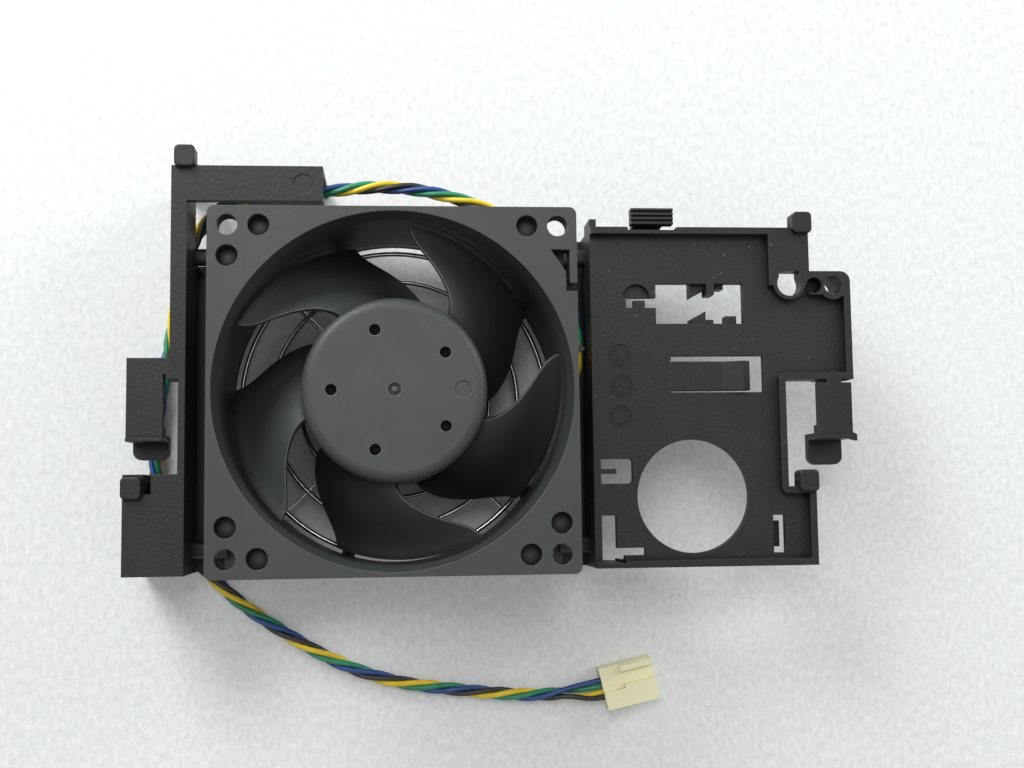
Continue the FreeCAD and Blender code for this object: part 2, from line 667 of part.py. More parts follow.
def bore():
    """The space inside the duct, to open both flanges."""
    z0, z1 = FAN_REST, FAN_FRONT
    return turned([(0, z0 - 1), (DUCT_R + REAR_EASE, z0 - 1), (DUCT_R + REAR_EASE, z0),
                   (DUCT_R, z0 + REAR_EASE_DEPTH), (DUCT_R, z1 - MOUTH_DEPTH)] + MOUTH_POINTS
                  + [(MOUTH_R, z1), (MOUTH_R, z1 + 1), (0, z1 + 1)])


def strut(angle):
    """One leaning strut from the motor base to the duct."""
    r0, r1 = BASE_R - STRUT_ROOT, DUCT_R + STRUT_ROOT
    z0, z1 = FAN_REST, FAN_REST + STRUT_H
    half = STRUT_T / 2
    rise = [(-half, z0), (half, z0), (half * 0.5 + STRUT_LEAN, z1), (-half * 0.5 + STRUT_LEAN, z1)]
    corners = [V(r0, y, z) for y, z in rise]
    bar = Part.Face(Part.makePolygon(corners + corners[:1])).extrude(V(r1 - r0, 0, 0))
    return spun(bar, angle)


def motor_base():
    """Cup under the motor that holds the bearing tube and the circuit board."""
    z0 = FAN_REST
    cup = turned([(0, z0), (BASE_R, z0), (BASE_R, z0 + BASE_RIM_H), (BASE_R - BASE_RIM, z0 + BASE_RIM_H),
                  (BASE_R - BASE_RIM, z0 + BASE_T), (TUBE_R + SOCKET_RIM, z0 + BASE_T),
                  (TUBE_R + SOCKET_RIM, z0 + SOCKET_T), (0, z0 + SOCKET_T)])
    return cup.cut(rod(TUBE_R, TUBE_FLOOR, z0 + SOCKET_T + 1))


def lead_outlet():
    """Groove in the rear flange along the lead's first two runs."""
    r = LEAD_D / 2 + OUTLET_CLEAR
    start, bend, after = [V(*point) for point in LEAD_HELD[:3]]
    first = Part.makeCylinder(r, (bend - start).Length, start, bend - start)
    second = Part.makeCylinder(r, (after - bend).Length, bend, after - bend)
    return [first, second, Part.makeSphere(r, bend)]


def fan_frame():
    """The whole housing: flanges, duct, struts and motor base as one moulding."""
    front = flange(FAN_FRONT - FLANGE)
    rear = flange(FAN_REST)
    shell = joined([front, rear, duct()]).cut(bore())
    struts = [strut(STRUT_FIRST + 360.0 / STRUTS * k) for k in range(STRUTS)]
    whole = joined([shell, motor_base()] + struts)
    nub = prism([(HALF - 0.5, NUB_Y + NUB_H / 2), (HALF + NUB_OUT, NUB_Y), (HALF - 0.5, NUB_Y - NUB_H / 2)],
                FAN_FRONT - FLANGE, FAN_FRONT - NUB_SHORT)
    whole = joined([whole, nub])
    return whole.cut(pockets() + wire_notch() + lead_outlet())


# ================================================================ impeller
def hub():
    """Cup-shaped hub with a rounded edge, dimple, balancing holes and gate mark."""
    top, low = HUB_TOP, HUB_OPEN
    cup = rod(HUB_R, low, top)
    cup = cup.makeFillet(HUB_EDGE, [rod_edge(cup, top)])
    cup = cup.cut(rod(HUB_IN_R, low - 1, YOKE_TOP))
    tools = [ring(HUB_GATE_R, HUB_GATE_IN_R, top - HUB_GATE_DEPTH, top + 1)]
    for k in range(HUB_HOLES):
        at = polar(HUB_HOLE_CIRCLE, HUB_HOLE_FIRST + 360.0 / HUB_HOLES * k)
        tools.append(rod(HUB_HOLE_R, top - HUB_HOLE_DEPTH, top + 1, at.x, at.y))
    tools.append(rod(HUB_MARK_R, top - HUB_MARK_DEPTH, top + 1, HUB_MARK_CIRCLE, 0))
    return cup.cut(tools)


def rod_edge(shape, z):
    """The round edge of a cylinder at a level."""
    for edge in shape.Edges:
        if isinstance(edge.Curve, Part.Circle) and abs(edge.Curve.Center.z - z) < SAME:
            return edge
    raise ValueError("no edge at that level")


def blade_point(span, along, side):
    """Point of a blade face; span runs root to tip, along leading to trailing edge, side is -1 or 1."""
    root = HUB_R - HUB_WALL * 0.5
    r = root + (TIP_R - root) * span
    s = max(0.0, (r - HUB_R) / (TIP_R - HUB_R))
    bend = math.sin(math.pi / 2 * s)
    lead = BLADE_SWEEP * (BLADE_BEND_SHARE * bend ** 2 + (1 - BLADE_BEND_SHARE) * bend)
    chord = CHORD_ROOT + (CHORD_TIP - CHORD_ROOT) * s
    front = FAN_FRONT - BLADE_FRONT - BLADE_DIP * s
    drop = front - (FAN_REST + BLADE_REAR)
    angle = BLADE_FIRST + lead - chord * along
    z = front - drop * (along * (1 - BLADE_CAMBER_SHARE) + BLADE_CAMBER_SHARE * along ** 2)
    slope_z = -drop * ((1 - BLADE_CAMBER_SHARE) + 2 * BLADE_CAMBER_SHARE * along)
    slope_a = -math.radians(chord) * r
    length = math.hypot(slope_z, slope_a)
    full = BLADE_T_ROOT + (BLADE_T_TIP - BLADE_T_ROOT) * s
    swell = math.sin(math.pi * (BLADE_NOSE_AT_SHARE + (1 - 2 * BLADE_NOSE_AT_SHARE) * along))
    half = full / 2 * (BLADE_NOSE_SHARE + (1 - BLADE_NOSE_SHARE) * swell)
    angle += math.degrees(side * half * (-slope_z / length) / r)
    z += side * half * slope_a / length
    return polar(r, angle, z)


def blade():
    """One sickle blade closed from two curved faces and four edge strips."""
    faces = []
    for side in (-1, 1):
        grid = [[blade_point(i / BLADE_SPANS, j / BLADE_STEPS, side) for j in range(BLADE_STEPS + 1)]
                for i in range(BLADE_SPANS + 1)]
        surface = Part.BSplineSurface()
        surface.interpolate(grid)
        faces.append(surface)
    shells = [surface.toShape() for surface in faces]
    for pick in ("root", "tip", "lead", "trail"):
        pair = [blade_edge(surface, pick) for surface in faces]
        shells.append(Part.makeRuledSurface(pair[0], pair[1]))
    skin = Part.Shell(sewn(shells))
    solid = Part.Solid(skin)
    if solid.Volume < 0:
        solid.reverse()
    return solid


def blade_edge(surface, pick):
    """Boundary curve of a blade face as an edge."""
    u0, u1, v0, v1 = surface.bounds()
    curves = {"root": lambda: surface.uIso(u0), "tip": lambda: surface.uIso(u1),
              "lead": lambda: surface.vIso(v0), "trail": lambda: surface.vIso(v1)}
    return curves[pick]().toShape()


def sewn(faces):
    """Faces of one closed skin, joined along their shared edges."""
    skin = Part.Compound(faces)
    skin.sewShape(0.001)
    return skin.Faces


def impeller():
    """Hub and blades as one moulding."""
    first = blade()
    blades = [spun(first, 360.0 / BLADES * k) for k in range(BLADES)]
    whole = hub()
    for one in blades:
        whole = whole.fuse(one)
    return whole.cut(rod(HUB_IN_R, FAN_REST, YOKE_TOP))


# ================================================================ motor
def rotor_yoke():
    """Drawn steel cup in the hub."""
    top, low = YOKE_TOP, HUB_OPEN + YOKE_SHORT
    cup = rod(HUB_IN_R, low, top).cut(rod(MAGNET_OUT_R, low - 1, top - YOKE_T))
    return cup.cut(rod(SHAFT_R + YOKE_NECK, low, top + 1))


def ring_magnet():
    """Bonded ring magnet in the cup."""
    return ring(MAGNET_OUT_R, MAGNET_IN_R, HUB_OPEN + MAGNET_SHORT, YOKE_TOP - YOKE_T - MAGNET_TOP_GAP)


def shaft():
    """Steel shaft with a groove for its clip."""
    low = TUBE_FLOOR + SHAFT_UP
    pin = rod(SHAFT_R, low, YOKE_TOP)
    groove = REAR_BEARING_Z - CLIP_T - GROOVE_GAP
    return pin.cut(ring(SHAFT_R + 1, SHAFT_R - GROOVE_DEPTH, groove, groove + CLIP_T))


def shaft_boss():
    """Brass boss that ties the shaft to the cup."""
    seat = YOKE_TOP - YOKE_T
    neck, end = SHAFT_R + YOKE_NECK, BOSS_R * BOSS_END_SHARE
    return turned([(SHAFT_R, BOSS_Z), (end, BOSS_Z), (BOSS_R, BOSS_Z + BOSS_EASE), (BOSS_R, seat),
                   (neck, seat), (neck, YOKE_TOP), (SHAFT_R, YOKE_TOP)])


def bearing_tube():
    """Tube in the motor base that carries both bearings."""
    seat = ring(TUBE_R, BEARING_R, TUBE_FLOOR, TUBE_TOP)
    shoulder_top = FRONT_BEARING_Z
    shoulder_low = REAR_BEARING_Z + BEARING_W
    return joined([seat, ring(BEARING_R + SHOULDER, BEARING_R - RACE_T, shoulder_low, shoulder_top)])


def outer_race(z):
    """Outer race with a ball groove."""
    body = ring(BEARING_R, BEARING_R - RACE_T, z, z + BEARING_W)
    return body.cut(Part.makeTorus(ball_circle(), BALL_R + FIT, V(0, 0, z + BEARING_W / 2), UP))


def inner_race(z):
    """Inner race, pressed on the shaft."""
    body = ring(SHAFT_R + INNER_RACE_T, SHAFT_R, z, z + BEARING_W)
    return body.cut(Part.makeTorus(ball_circle(), BALL_R + FIT, V(0, 0, z + BEARING_W / 2), UP))


def ball_circle():
    """Radius of the ball centres."""
    return (BEARING_R - RACE_T + SHAFT_R + INNER_RACE_T) / 2


def balls(z):
    """The balls of one bearing."""
    spheres = []
    for k in range(BALLS):
        at = polar(ball_circle(), 360.0 / BALLS * k, z + BEARING_W / 2)
        spheres.append(Part.makeSphere(BALL_R, at))
    return Part.Compound(spheres)


def preload_washer():
    """Coned spring washer between the boss and the front inner race."""
    low, top = TUBE_TOP, BOSS_Z
    r0 = SHAFT_R + FIT
    r1 = BOSS_R * WASHER_SHARE
    return turned([(r0, low), (r0 + WASHER_T, low), (r1, top - WASHER_LIP), (r1, top),
                   (r1 - WASHER_T, top)])


def retaining_clip():
    """C clip under the rear inner race."""
    z = REAR_BEARING_Z - CLIP_T - GROOVE_GAP
    clip = ring(SHAFT_R + CLIP_OUT, SHAFT_R - CLIP_IN, z, z + CLIP_T)
    mouth = SHAFT_R * CLIP_MOUTH_SHARE
    return clip.cut(box(-mouth, mouth, -SHAFT_R - CLIP_OUT - 1, 0, z - 1, z + CLIP_T + 1))


def tooth(grow, z0, z1, r_in, r_out):
    """Straight part of one stator tooth, on +X."""
    half = TOOTH_W / 2 + grow
    return box(r_in, r_out, -half, half, z0, z1)


def tooth_tip(z0, z1):
    """Curved pole face of one tooth, on +X."""
    arc = ring(STATOR_R, STATOR_R - TOOTH_TIP_T, z0, z1)
    reach = STATOR_R * 2
    half = math.radians(TOOTH_TIP_ANGLE / 2)
    wedge = prism([(0, 0), (reach * math.cos(half), -reach * math.sin(half)),
                   (reach * math.cos(half), reach * math.sin(half))], z0, z1)
    return arc.common(wedge)


def on_teeth(shape):
    """A copy of a shape at each tooth."""
    return [spun(shape, TOOTH_FIRST + 360.0 / CORE_TEETH * k) for k in range(CORE_TEETH)]


def stator_core():
    """Laminated stack with four teeth."""
    z0, z1 = CORE_Z, CORE_Z + CORE_H
    arm = joined([tooth(0, z0, z1, CORE_HUB_R - 0.5, STATOR_R - TOOTH_SHORT), tooth_tip(z0, z1)])
    core = joined([rod(CORE_HUB_R, z0, z1)] + on_teeth(arm))
    return core.cut(rod(TUBE_R, z0 - 1, z1 + 1))


def bobbin_arm(z0, z1):
    """Insulator over one tooth, hollowed for the steel."""
    r0, r1 = CORE_HUB_R - 0.5, STATOR_R - TOOTH_TIP_T
    sleeve = tooth(BOBBIN_T, z0 - BOBBIN_T, z1 + BOBBIN_T, r0, r1)
    half = TOOTH_W / 2 + CHEEK_OUT
    cheek = box(r1 - CHEEK_T, r1, -half, half, z0 - CHEEK_RISE, z1 + CHEEK_RISE)
    return joined([sleeve, cheek])


def stator_insulator():
    """Moulded bobbin round the stack."""
    z0, z1 = CORE_Z, CORE_Z + CORE_H
    collar = rod(CORE_HUB_R + BOBBIN_T, z0 - BOBBIN_T - COLLAR_LOW, z1 + BOBBIN_T + COLLAR_TOP)
    body = joined([collar] + on_teeth(bobbin_arm(z0, z1)))
    spots = [polar(LEG_CIRCLE, 90 * k) for k in range(4)]
    legs = [rod(LEG_R, BOARD_Z + BOARD_T, z0 - 1, at.x, at.y) for at in spots]
    body = joined([body] + legs)
    hollow = [rod(TUBE_R, BOARD_Z, z1 + CORE_H), rod(CORE_HUB_R, z0, z1)]
    hollow += on_teeth(joined([tooth(0, z0, z1, CORE_HUB_R - 0.5, STATOR_R), tooth_tip(z0, z1)]))
    return body.cut(hollow)


def stator_windings():
    """A coil on each tooth."""
    z0, z1 = CORE_Z - BOBBIN_T, CORE_Z + CORE_H + BOBBIN_T
    half = TOOTH_W / 2 + BOBBIN_T
    r0 = CORE_HUB_R + BOBBIN_T + COIL_START
    r1 = STATOR_R - TOOTH_TIP_T - 1.0
    side = half + COIL_T * COIL_SIDE_SHARE
    coil = box(r0, r1, -side, side, z0 - COIL_T, z1 + COIL_T)
    along = [e for e in coil.Edges if abs(e.tangentAt(e.FirstParameter).x) > ALONG]
    coil = coil.makeFillet(COIL_T * COIL_ROUND_SHARE, along)
    coil = coil.cut(box(r0 - 1, r1 + 1, -half, half, z0, z1))
    tools = on_teeth(coil)
    neighbour_gap = rod(r0 + COIL_GAP, z0 - CORE_H, z1 + CORE_H)
    return Part.Compound([one.cut(neighbour_gap) for one in tools])


def circuit_board():
    """Round driver board on the motor base."""
    board = ring(BOARD_R, TUBE_R + BOARD_BORE_GAP, BOARD_Z, BOARD_Z + BOARD_T)
    return board


def board_parts():
    """Driver chip, Hall sensor, small chips and lead ends on the board, and the posts under it."""
    z = BOARD_Z + BOARD_T
    middle = (BOARD_R + TUBE_R) / 2
    driver = box(middle - CHIP_W / 2, middle + CHIP_W / 2, -CHIP_L / 2, CHIP_L / 2, z, z + CHIP_H)
    edge = BOARD_R - SENSOR_IN
    sensor = box(edge - SENSOR_L, edge, -SENSOR_W / 2, SENSOR_W / 2, z, z + SENSOR_H)
    small = box(middle - CHIP_W / 4, middle + CHIP_W / 4, -SMALL_W / 2, SMALL_W / 2, z, z + SMALL_H)
    parts = [driver, spun(sensor, SENSOR_AT)] + [spun(small, a) for a in SMALL_AT]
    for k in range(PLUG_WAYS):
        at = polar(BOARD_R - PAD_EDGE, PAD_FIRST + PAD_STEP * k)
        parts.append(rod(PAD_R, z, z + PAD_H, at.x, at.y))
    posts = []
    for k in range(3):
        at = polar(BOARD_R - POST_EDGE, BOARD_POST_FIRST + 360.0 / BOARD_POSTS * k)
        posts.append(rod(BOARD_POST_R, FAN_REST + BASE_T, BOARD_Z, at.x, at.y))
    return Part.Compound(parts), posts


# ================================================================ finger guard
def guard_leg(angle):
    """One leg from the middle of the guard out to its screw eye."""
    reach = math.hypot(HOLE_AT, HOLE_AT)
    start = polar(GUARD_LEG_IN, angle, LEG_Z)
    length = reach - EYE_R - GUARD_LEG_IN
    leg = Part.makeCylinder(WIRE_R, length, start, polar(1, angle))
    eye = Part.makeTorus(EYE_R, WIRE_R, polar(reach, angle, LEG_Z), UP)
    end = Part.makeSphere(WIRE_R, start)
    return joined([leg, eye, end])


def finger_guard():
    """Welded wire guard: rings on four diagonal legs."""
    rings = []
    for k in range(GUARD_RINGS):
        radius = GUARD_RING_OUT - k * GUARD_RING_STEP
        rings.append(Part.makeTorus(radius, WIRE_R, V(0, 0, RING_Z - GUARD_SINK), UP))
    legs = [guard_leg(GUARD_FIRST + 360.0 / GUARD_LEGS * k) for k in range(GUARD_LEGS)]
    whole = rings[0]
    for one in legs + rings[1:]:
        whole = whole.fuse(one)
    return whole


def guard_screws():
    """Self-tapping screws through the guard and the seat into the rear flange."""
    screws = []
    for sx, sy in corner_signs():
        x, y = sx * HOLE_AT, sy * HOLE_AT
        low = SCREW_SEAT - SCREW_HEAD_H
        head = rod(SCREW_HEAD_D / 2, low, SCREW_SEAT, x, y)
        head = head.makeFillet(SCREW_HEAD_ROUND, [rod_edge(head, low)])
        slot = SCREW_HEAD_H * 0.5
        cut = SCREW_CROSS_W / 2
        cross = [box(x - 2, x + 2, y - cut, y + cut, low - 1, low + slot),
                 box(x - cut, x + cut, y - 2, y + 2, low - 1, low + slot)]
        tip_z = SCREW_SEAT + SCREW_LEN - SCREW_TIP
        shank = rod(SCREW_SHANK_D / 2, SCREW_SEAT - 0.5, tip_z, x, y)
        tip = Part.makeCone(SCREW_SHANK_D / 2, SCREW_TIP_R, SCREW_TIP, V(x, y, tip_z), UP)
        screws.append(joined([head, shank, tip]).cut(cross))
    return Part.Compound(screws)


# ================================================================ carrier
def seat_plate():
    """Plate behind the fan that ties rail and tray together, open at the duct."""
    z0, z1 = SEAT_Z, FAN_REST
    plate = box(RAIL_X, TRAY_X + WALL, -HALF, HALF, z0, z1)
    corner = box(RAIL_X - 1, RAIL_X + WALL + SEAT_BAY_W, LEAD_PASS_Y0, HALF + 1, z0 - 1, z1 + 1)
    tools = [rod(SEAT_BORE_R, z0 - 1, z1 + 1), corner]
    for sx, sy in corner_signs():
        tools.append(rod(SEAT_HOLE_D / 2, z0 - 1, z1 + 1, sx * HOLE_AT, sy * HOLE_AT))
    return plate.cut(tools)


def fan_hooks():
    """Fingers on both sides that hold down the fan's rear flange."""
    fingers = []
    z0 = REAR_FLANGE_TOP + HOOK_CLEAR
    for y in (-HOOK_Y, HOOK_Y):
        for side, wall in ((-1, RAIL_X + WALL), (1, TRAY_X)):
            tip = side * (HALF - HOOK_GRIP)
            x0, x1 = min(tip, wall + side * 0.5), max(tip, wall + side * 0.5)
            bar = box(x0, x1, y - HOOK_W / 2, y + HOOK_W / 2, z0, z0 + HOOK_T)
            ridge = [e for e in bar.Edges if abs(e.tangentAt(e.FirstParameter).x) > ALONG
                     and e.CenterOfMass.z > z0 + HOOK_T - SAME]
            fingers.append(bar.makeFillet(HOOK_T * HOOK_ROUND_SHARE, ridge))
    return fingers


def post(x, y):
    """Locating post with rounded corners."""
    w, h = POST_W / 2, POST_L / 2
    body = rounded_box(x - w, x + w, y - h, y + h, DECK_TOP - POST_ROOT, DECK_TOP + POST_H, POST_ROUND)
    top = [e for e in body.Edges if e.BoundBox.ZMin > DECK_TOP + POST_H / 2]
    return body.makeFillet(POST_ROUND * POST_TOP_SHARE, top)


def left_side():
    """Rail beside the fan, arm above it and block below it."""
    rail_in = RAIL_X + WALL
    wall = box(RAIL_X, rail_in, RAIL_BOTTOM_Y, RAIL_TOP_Y, SEAT_Z, DECK_TOP)
    lead_pass = box(RAIL_X - 1, rail_in + 1, LEAD_PASS_Y0, RAIL_TOP_Y - WALL, 0, LEAD_PASS_H)
    wall = wall.cut(lead_pass)
    lip = box(RAIL_X - RAIL_LIP, rail_in, RAIL_LIP_END_Y, RAIL_TOP_Y, DECK_UNDER, DECK_TOP)
    return [wall, lip] + arm() + block()


def arm():
    """Channel above the fan that hides the lead; its outer wall stands on two feet."""
    x0 = RAIL_X - RAIL_LIP
    top = box(x0, ARM_END_X, ARM_IN_Y, RAIL_TOP_Y, DECK_UNDER, DECK_TOP)
    outer = box(x0, ARM_END_X, RAIL_TOP_Y - WALL, RAIL_TOP_Y, 0, DECK_TOP)
    window = box(RAIL_X + WALL + ARM_FOOT, ARM_END_X - ARM_FOOT, RAIL_TOP_Y - WALL - 1, RAIL_TOP_Y + 1,
                 -1, ARM_WINDOW_H)
    inner = box(ARM_WALL_START_X, ARM_END_X, ARM_IN_Y, ARM_IN_Y + ARM_INNER_T, ARM_WINDOW_H, DECK_TOP)
    return [top, outer.cut(window), inner]


def block():
    """Hollow block at the rail's lower end, over the lead."""
    top = box(BLOCK_X, RAIL_X + WALL, RAIL_BOTTOM_Y, BLOCK_TOP_Y, DECK_UNDER, DECK_TOP)
    slot = box(BLOCK_SLOT_X, BLOCK_SLOT_X + BLOCK_SLOT_W, BLOCK_TOP_Y - BLOCK_SLOT_L, BLOCK_TOP_Y + 1,
               0, DECK_TOP + 1)
    outer = box(BLOCK_X, BLOCK_X + WALL, RAIL_BOTTOM_Y, BLOCK_TOP_Y, 0, DECK_TOP)
    upper = box(BLOCK_X, RAIL_X + WALL, BLOCK_TOP_Y - WALL, BLOCK_TOP_Y, BLOCK_PASS_H, DECK_TOP)
    lower = box(BLOCK_X, RAIL_X + WALL, RAIL_BOTTOM_Y, RAIL_BOTTOM_Y + WALL, 0, DECK_TOP)
    exit_way = box(LEAD_EXIT_X, RAIL_X + WALL + 1, RAIL_BOTTOM_Y - 1, RAIL_BOTTOM_Y + WALL + 1,
                   -1, LEAD_EXIT_H)
    return [joined([top, outer, upper, lower]).cut([slot, exit_way])]


def tray_outline():
    """Corners of the tray, counter-clockwise from its lower left."""
    return [(TRAY_X, TRAY_BOTTOM_Y), (TRAY_STEP_X, TRAY_BOTTOM_Y), (TRAY_STEP_X, GAP_BOTTOM_Y),
            (GAP_X, GAP_BOTTOM_Y), (GAP_X, GAP_TOP_Y), (TRAY_RIGHT_X, GAP_TOP_Y),
            (TRAY_RIGHT_X, TRAY_STEP_Y), (TRAY_STEP_X, TRAY_STEP_Y), (TRAY_STEP_X, TRAY_TOP_Y),
            (TRAY_X, TRAY_TOP_Y)]


def tray_block(inset, z0, z1):
    """Solid over the tray's outline, drawn in by a wall."""
    outline = prism(tray_outline(), 0, 1)
    edges = [e for e in upright_edges(outline, 0, 1)
             if abs(e.CenterOfMass.x - TRAY_RIGHT_X) < 0.1 and abs(e.CenterOfMass.y - TRAY_STEP_Y) < 0.1]
    outline = outline.makeFillet(TRAY_CORNER, edges)
    base = [f for f in outline.Faces if abs(f.CenterOfMass.z) < SAME][0]
    if inset:
        base = base.makeOffset2D(-inset)
    base = base.copy()
    base.translate(V(0, 0, z0))
    face = Part.Face(base.Wires[0])
    return face.extrude(V(0, 0, z1 - z0))


def tray_recess():
    """Sunk floor of the tray, open to the left, round the raised land."""
    sunk = tray_block(WALL, FLOOR_TOP, DECK_TOP + 1)
    left = box(TRAY_X - 1, TRAY_X + WALL + 1, TRAY_BOTTOM_Y + WALL, TRAY_TOP_Y - WALL,
               FLOOR_TOP, DECK_TOP + 1)
    land = box(PAD_X, TRAY_STEP_X + 1, PAD_Y, TRAY_TOP_Y, FLOOR_TOP, DECK_TOP + 1)
    step = box(TRAY_STEP_X, TRAY_RIGHT_X, PAD_STEP_Y, TRAY_STEP_Y, FLOOR_TOP, DECK_TOP + 1)
    collar = rod(LOCATOR_R + LOCATOR_COLLAR, FLOOR_TOP, DECK_TOP + 1, LOCATOR_X, LOCATOR_Y)
    return sunk.fuse(left).cut([land, step, collar])


def key_window(z0, z1):
    """Window with a keyway, a peg in it and a blind eye above."""
    way_y = KEY_Y0 + KEYWAY_UP
    window = box(KEY_X0, KEY_X0 + KEY_L, KEY_Y0, KEY_Y0 + KEY_W, z0, z1)
    keyway = box(KEY_X0 - KEYWAY_L, KEY_X0 + 1, way_y, way_y + KEYWAY_W, z0, z1)
    peg_x = KEY_X0 - KEY_PEG_OUT
    peg = box(peg_x, peg_x + KEY_PEG_L, way_y - 1, way_y + KEY_PEG_W, z0, z1)
    eye = rod(KEY_EYE_R, FLOOR_TOP - KEY_EYE_DEPTH, z1, KEY_X0 - KEY_EYE_OUT, way_y + KEYWAY_W)
    upper = box(TRAY_X, KEY_X0 + KEY_L, way_y + KEYWAY_W, TRAY_TOP_Y, 0, z1)
    return [window.fuse(keyway).cut(peg), eye.common(upper)]


def corner_slots(z0, z1):
    """U-shaped slot with its tongue, and the L-shaped slot below it."""
    x0 = TRAY_X + WALL + SLOT_OFF_WALL
    low = TRAY_BOTTOM_Y
    u_y = low + U_SLOT_UP
    u_slot = rounded_box(x0 - 3 * U_SLOT_ROUND, x0 + U_SLOT_L, u_y, u_y + U_SLOT_W, z0, z1, U_SLOT_ROUND)
    u_slot = u_slot.common(box(x0, x0 + U_SLOT_L + 1, u_y, u_y + U_SLOT_W, z0, z1))
    tongue_y = u_y + (U_SLOT_W - TONGUE_W) / 2
    tongue = box(x0 - 1, x0 + TONGUE_L, tongue_y, tongue_y + TONGUE_W, z0, z1)
    bar = box(x0, x0 + L_SLOT_W, low + L_SLOT_EDGE, low + L_SLOT_EDGE + L_SLOT_H, z0, z1)
    foot_y = low + L_FOOT_UP
    sole = box(x0, x0 + L_FOOT_L, foot_y, foot_y + L_FOOT_W, z0, z1)
    toe = box(x0, x0 + L_TOE_L, low + L_SLOT_EDGE, foot_y + 0.1, z0, z1)
    return [u_slot.cut(tongue), bar, sole, toe]


def tray_holes():
    """Openings that go through the tray's skin."""
    z0, z1 = 0, DECK_TOP + 1
    window = box(FINGER_X0, FINGER_X0 + FINGER_WINDOW_L, FINGER_WINDOW_Y, FINGER_WINDOW_Y + FINGER_WINDOW_W,
                 z0, z1)
    g_x, g_y = TRAY_X + G_SLOT_IN, TRAY_BOTTOM_Y + G_SLOT_UP
    g_slot = box(g_x, g_x + G_SLOT_L, g_y, g_y + G_SLOT_H, z0, z1)
    speaker = rod(SPEAKER_R, z0, z1, SPEAKER_X, SPEAKER_Y)
    half_notch = LOCATOR_NOTCH_W / 2
    locator = [rod(LOCATOR_R, z0, z1, LOCATOR_X, LOCATOR_Y),
               box(LOCATOR_X - half_notch, LOCATOR_X + half_notch, LOCATOR_Y, LOCATOR_Y + LOCATOR_NOTCH_H,
                   z0, z1)]
    screw = rod(SCREW_BOSS_HOLE_R, z0, z1, SCREW_BOSS_X, SCREW_BOSS_Y)
    dimple = rod(DIMPLE_R, DECK_TOP - DIMPLE_DEPTH, z1, TRAY_X + DIMPLE_IN, SCREW_BOSS_Y)
    round_ones = [speaker, screw, dimple] + locator
    return key_window(z0, z1) + corner_slots(z0, z1) + [window, g_slot] + round_ones


def tray_underside():
    """Speaker seat, screw boss, raised land and ribs under the tray's skin."""
    z1 = FLOOR_UNDER + 0.5
    seat_r = SPEAKER_R + SPEAKER_SEAT
    seat = ring(seat_r + SPEAKER_WALL, seat_r, FLOOR_UNDER - SPEAKER_WALL_H, z1, SPEAKER_X, SPEAKER_Y)
    slot_end = TRAY_X + WALL + SLOT_OFF_WALL + U_SLOT_L
    seat = seat.common(box(slot_end + 0.4, TRAY_STEP_X, TRAY_BOTTOM_Y + 0.5, 0, 0, DECK_TOP))
    boss = rod(SCREW_BOSS_R, DECK_TOP - SCREW_BOSS_H, DECK_TOP, SCREW_BOSS_X, SCREW_BOSS_Y)
    land = box(PAD_X, TRAY_STEP_X, PAD_Y, TRAY_TOP_Y, FLOOR_UNDER, DECK_TOP)
    low = FLOOR_UNDER - RIB_H
    cross_y = (FINGER_WINDOW_Y + FINGER_WINDOW_W + KEY_Y0) / 2
    far_x = GAP_X - WALL - RIB_T
    across = box(TRAY_X + 0.5, far_x, cross_y, cross_y + RIB_T, low, z1)
    along = box(far_x - RIB_T, far_x, cross_y, TRAY_TOP_Y - 0.5, low, z1)
    g_top = TRAY_BOTTOM_Y + G_SLOT_UP + G_SLOT_H
    near = box(far_x - RIB_T, far_x, g_top + 1, FINGER_WINDOW_Y - RIB_T, low, z1)
    return [seat, boss, land, across, along, near]


def key_window_ribs():
    """Wedges and stops inside the keyed window, and the bar under the small slot."""
    top, low = KEY_Y0 + KEY_W, KEY_Y0
    x = KEY_X0 + KEY_WEDGE_IN
    x1 = x + KEY_WEDGE_L
    z0, z1 = FLOOR_UNDER - KEY_RIB_H, FLOOR_UNDER + KEY_ROOT
    reach, tip, root = KEY_WEDGE_REACH, KEY_WEDGE_TIP, KEY_ROOT
    wedge_top = prism([(x, top + root), (x1, top + root), (x1, top - tip), (x, top - reach)], z0, z1)
    wedge_low = prism([(x, low - root), (x, low + tip), (x1, low + reach), (x1, low - root)], z0, z1)
    stop_top = box(x1, x1 + KEY_STOP_W, top - KEY_STOP_REACH, top + root, z0, FLOOR_TOP)
    nub_low = box(x1, x1 + KEY_STOP_W, low - root, low + KEY_NUB_REACH, z0, z1)
    nub_x = x1 + KEY_STOP_W + KEY_NUB_STEP
    nub_top = box(nub_x, nub_x + KEY_STOP_W, top - KEY_NUB_REACH, top + root, z0, z1)
    end_x = KEY_X0 + KEY_END_STOP_IN
    end_stop = box(end_x, end_x + KEY_END_STOP_W, low - root, low + KEY_END_STOP_REACH, z0, z1)
    g_x, g_y = TRAY_X + G_SLOT_IN, TRAY_BOTTOM_Y + G_SLOT_UP + (G_SLOT_H - G_BAR_H) / 2
    bar = box(g_x - root, g_x + G_BAR_W, g_y, g_y + G_BAR_H, z0, z0 + G_BAR_T)
    bar_leg = box(g_x - RIB_T, g_x, g_y, g_y + G_BAR_H, z0, z1)
    return [wedge_top, wedge_low, stop_top, nub_low, nub_top, end_stop, bar, bar_leg]


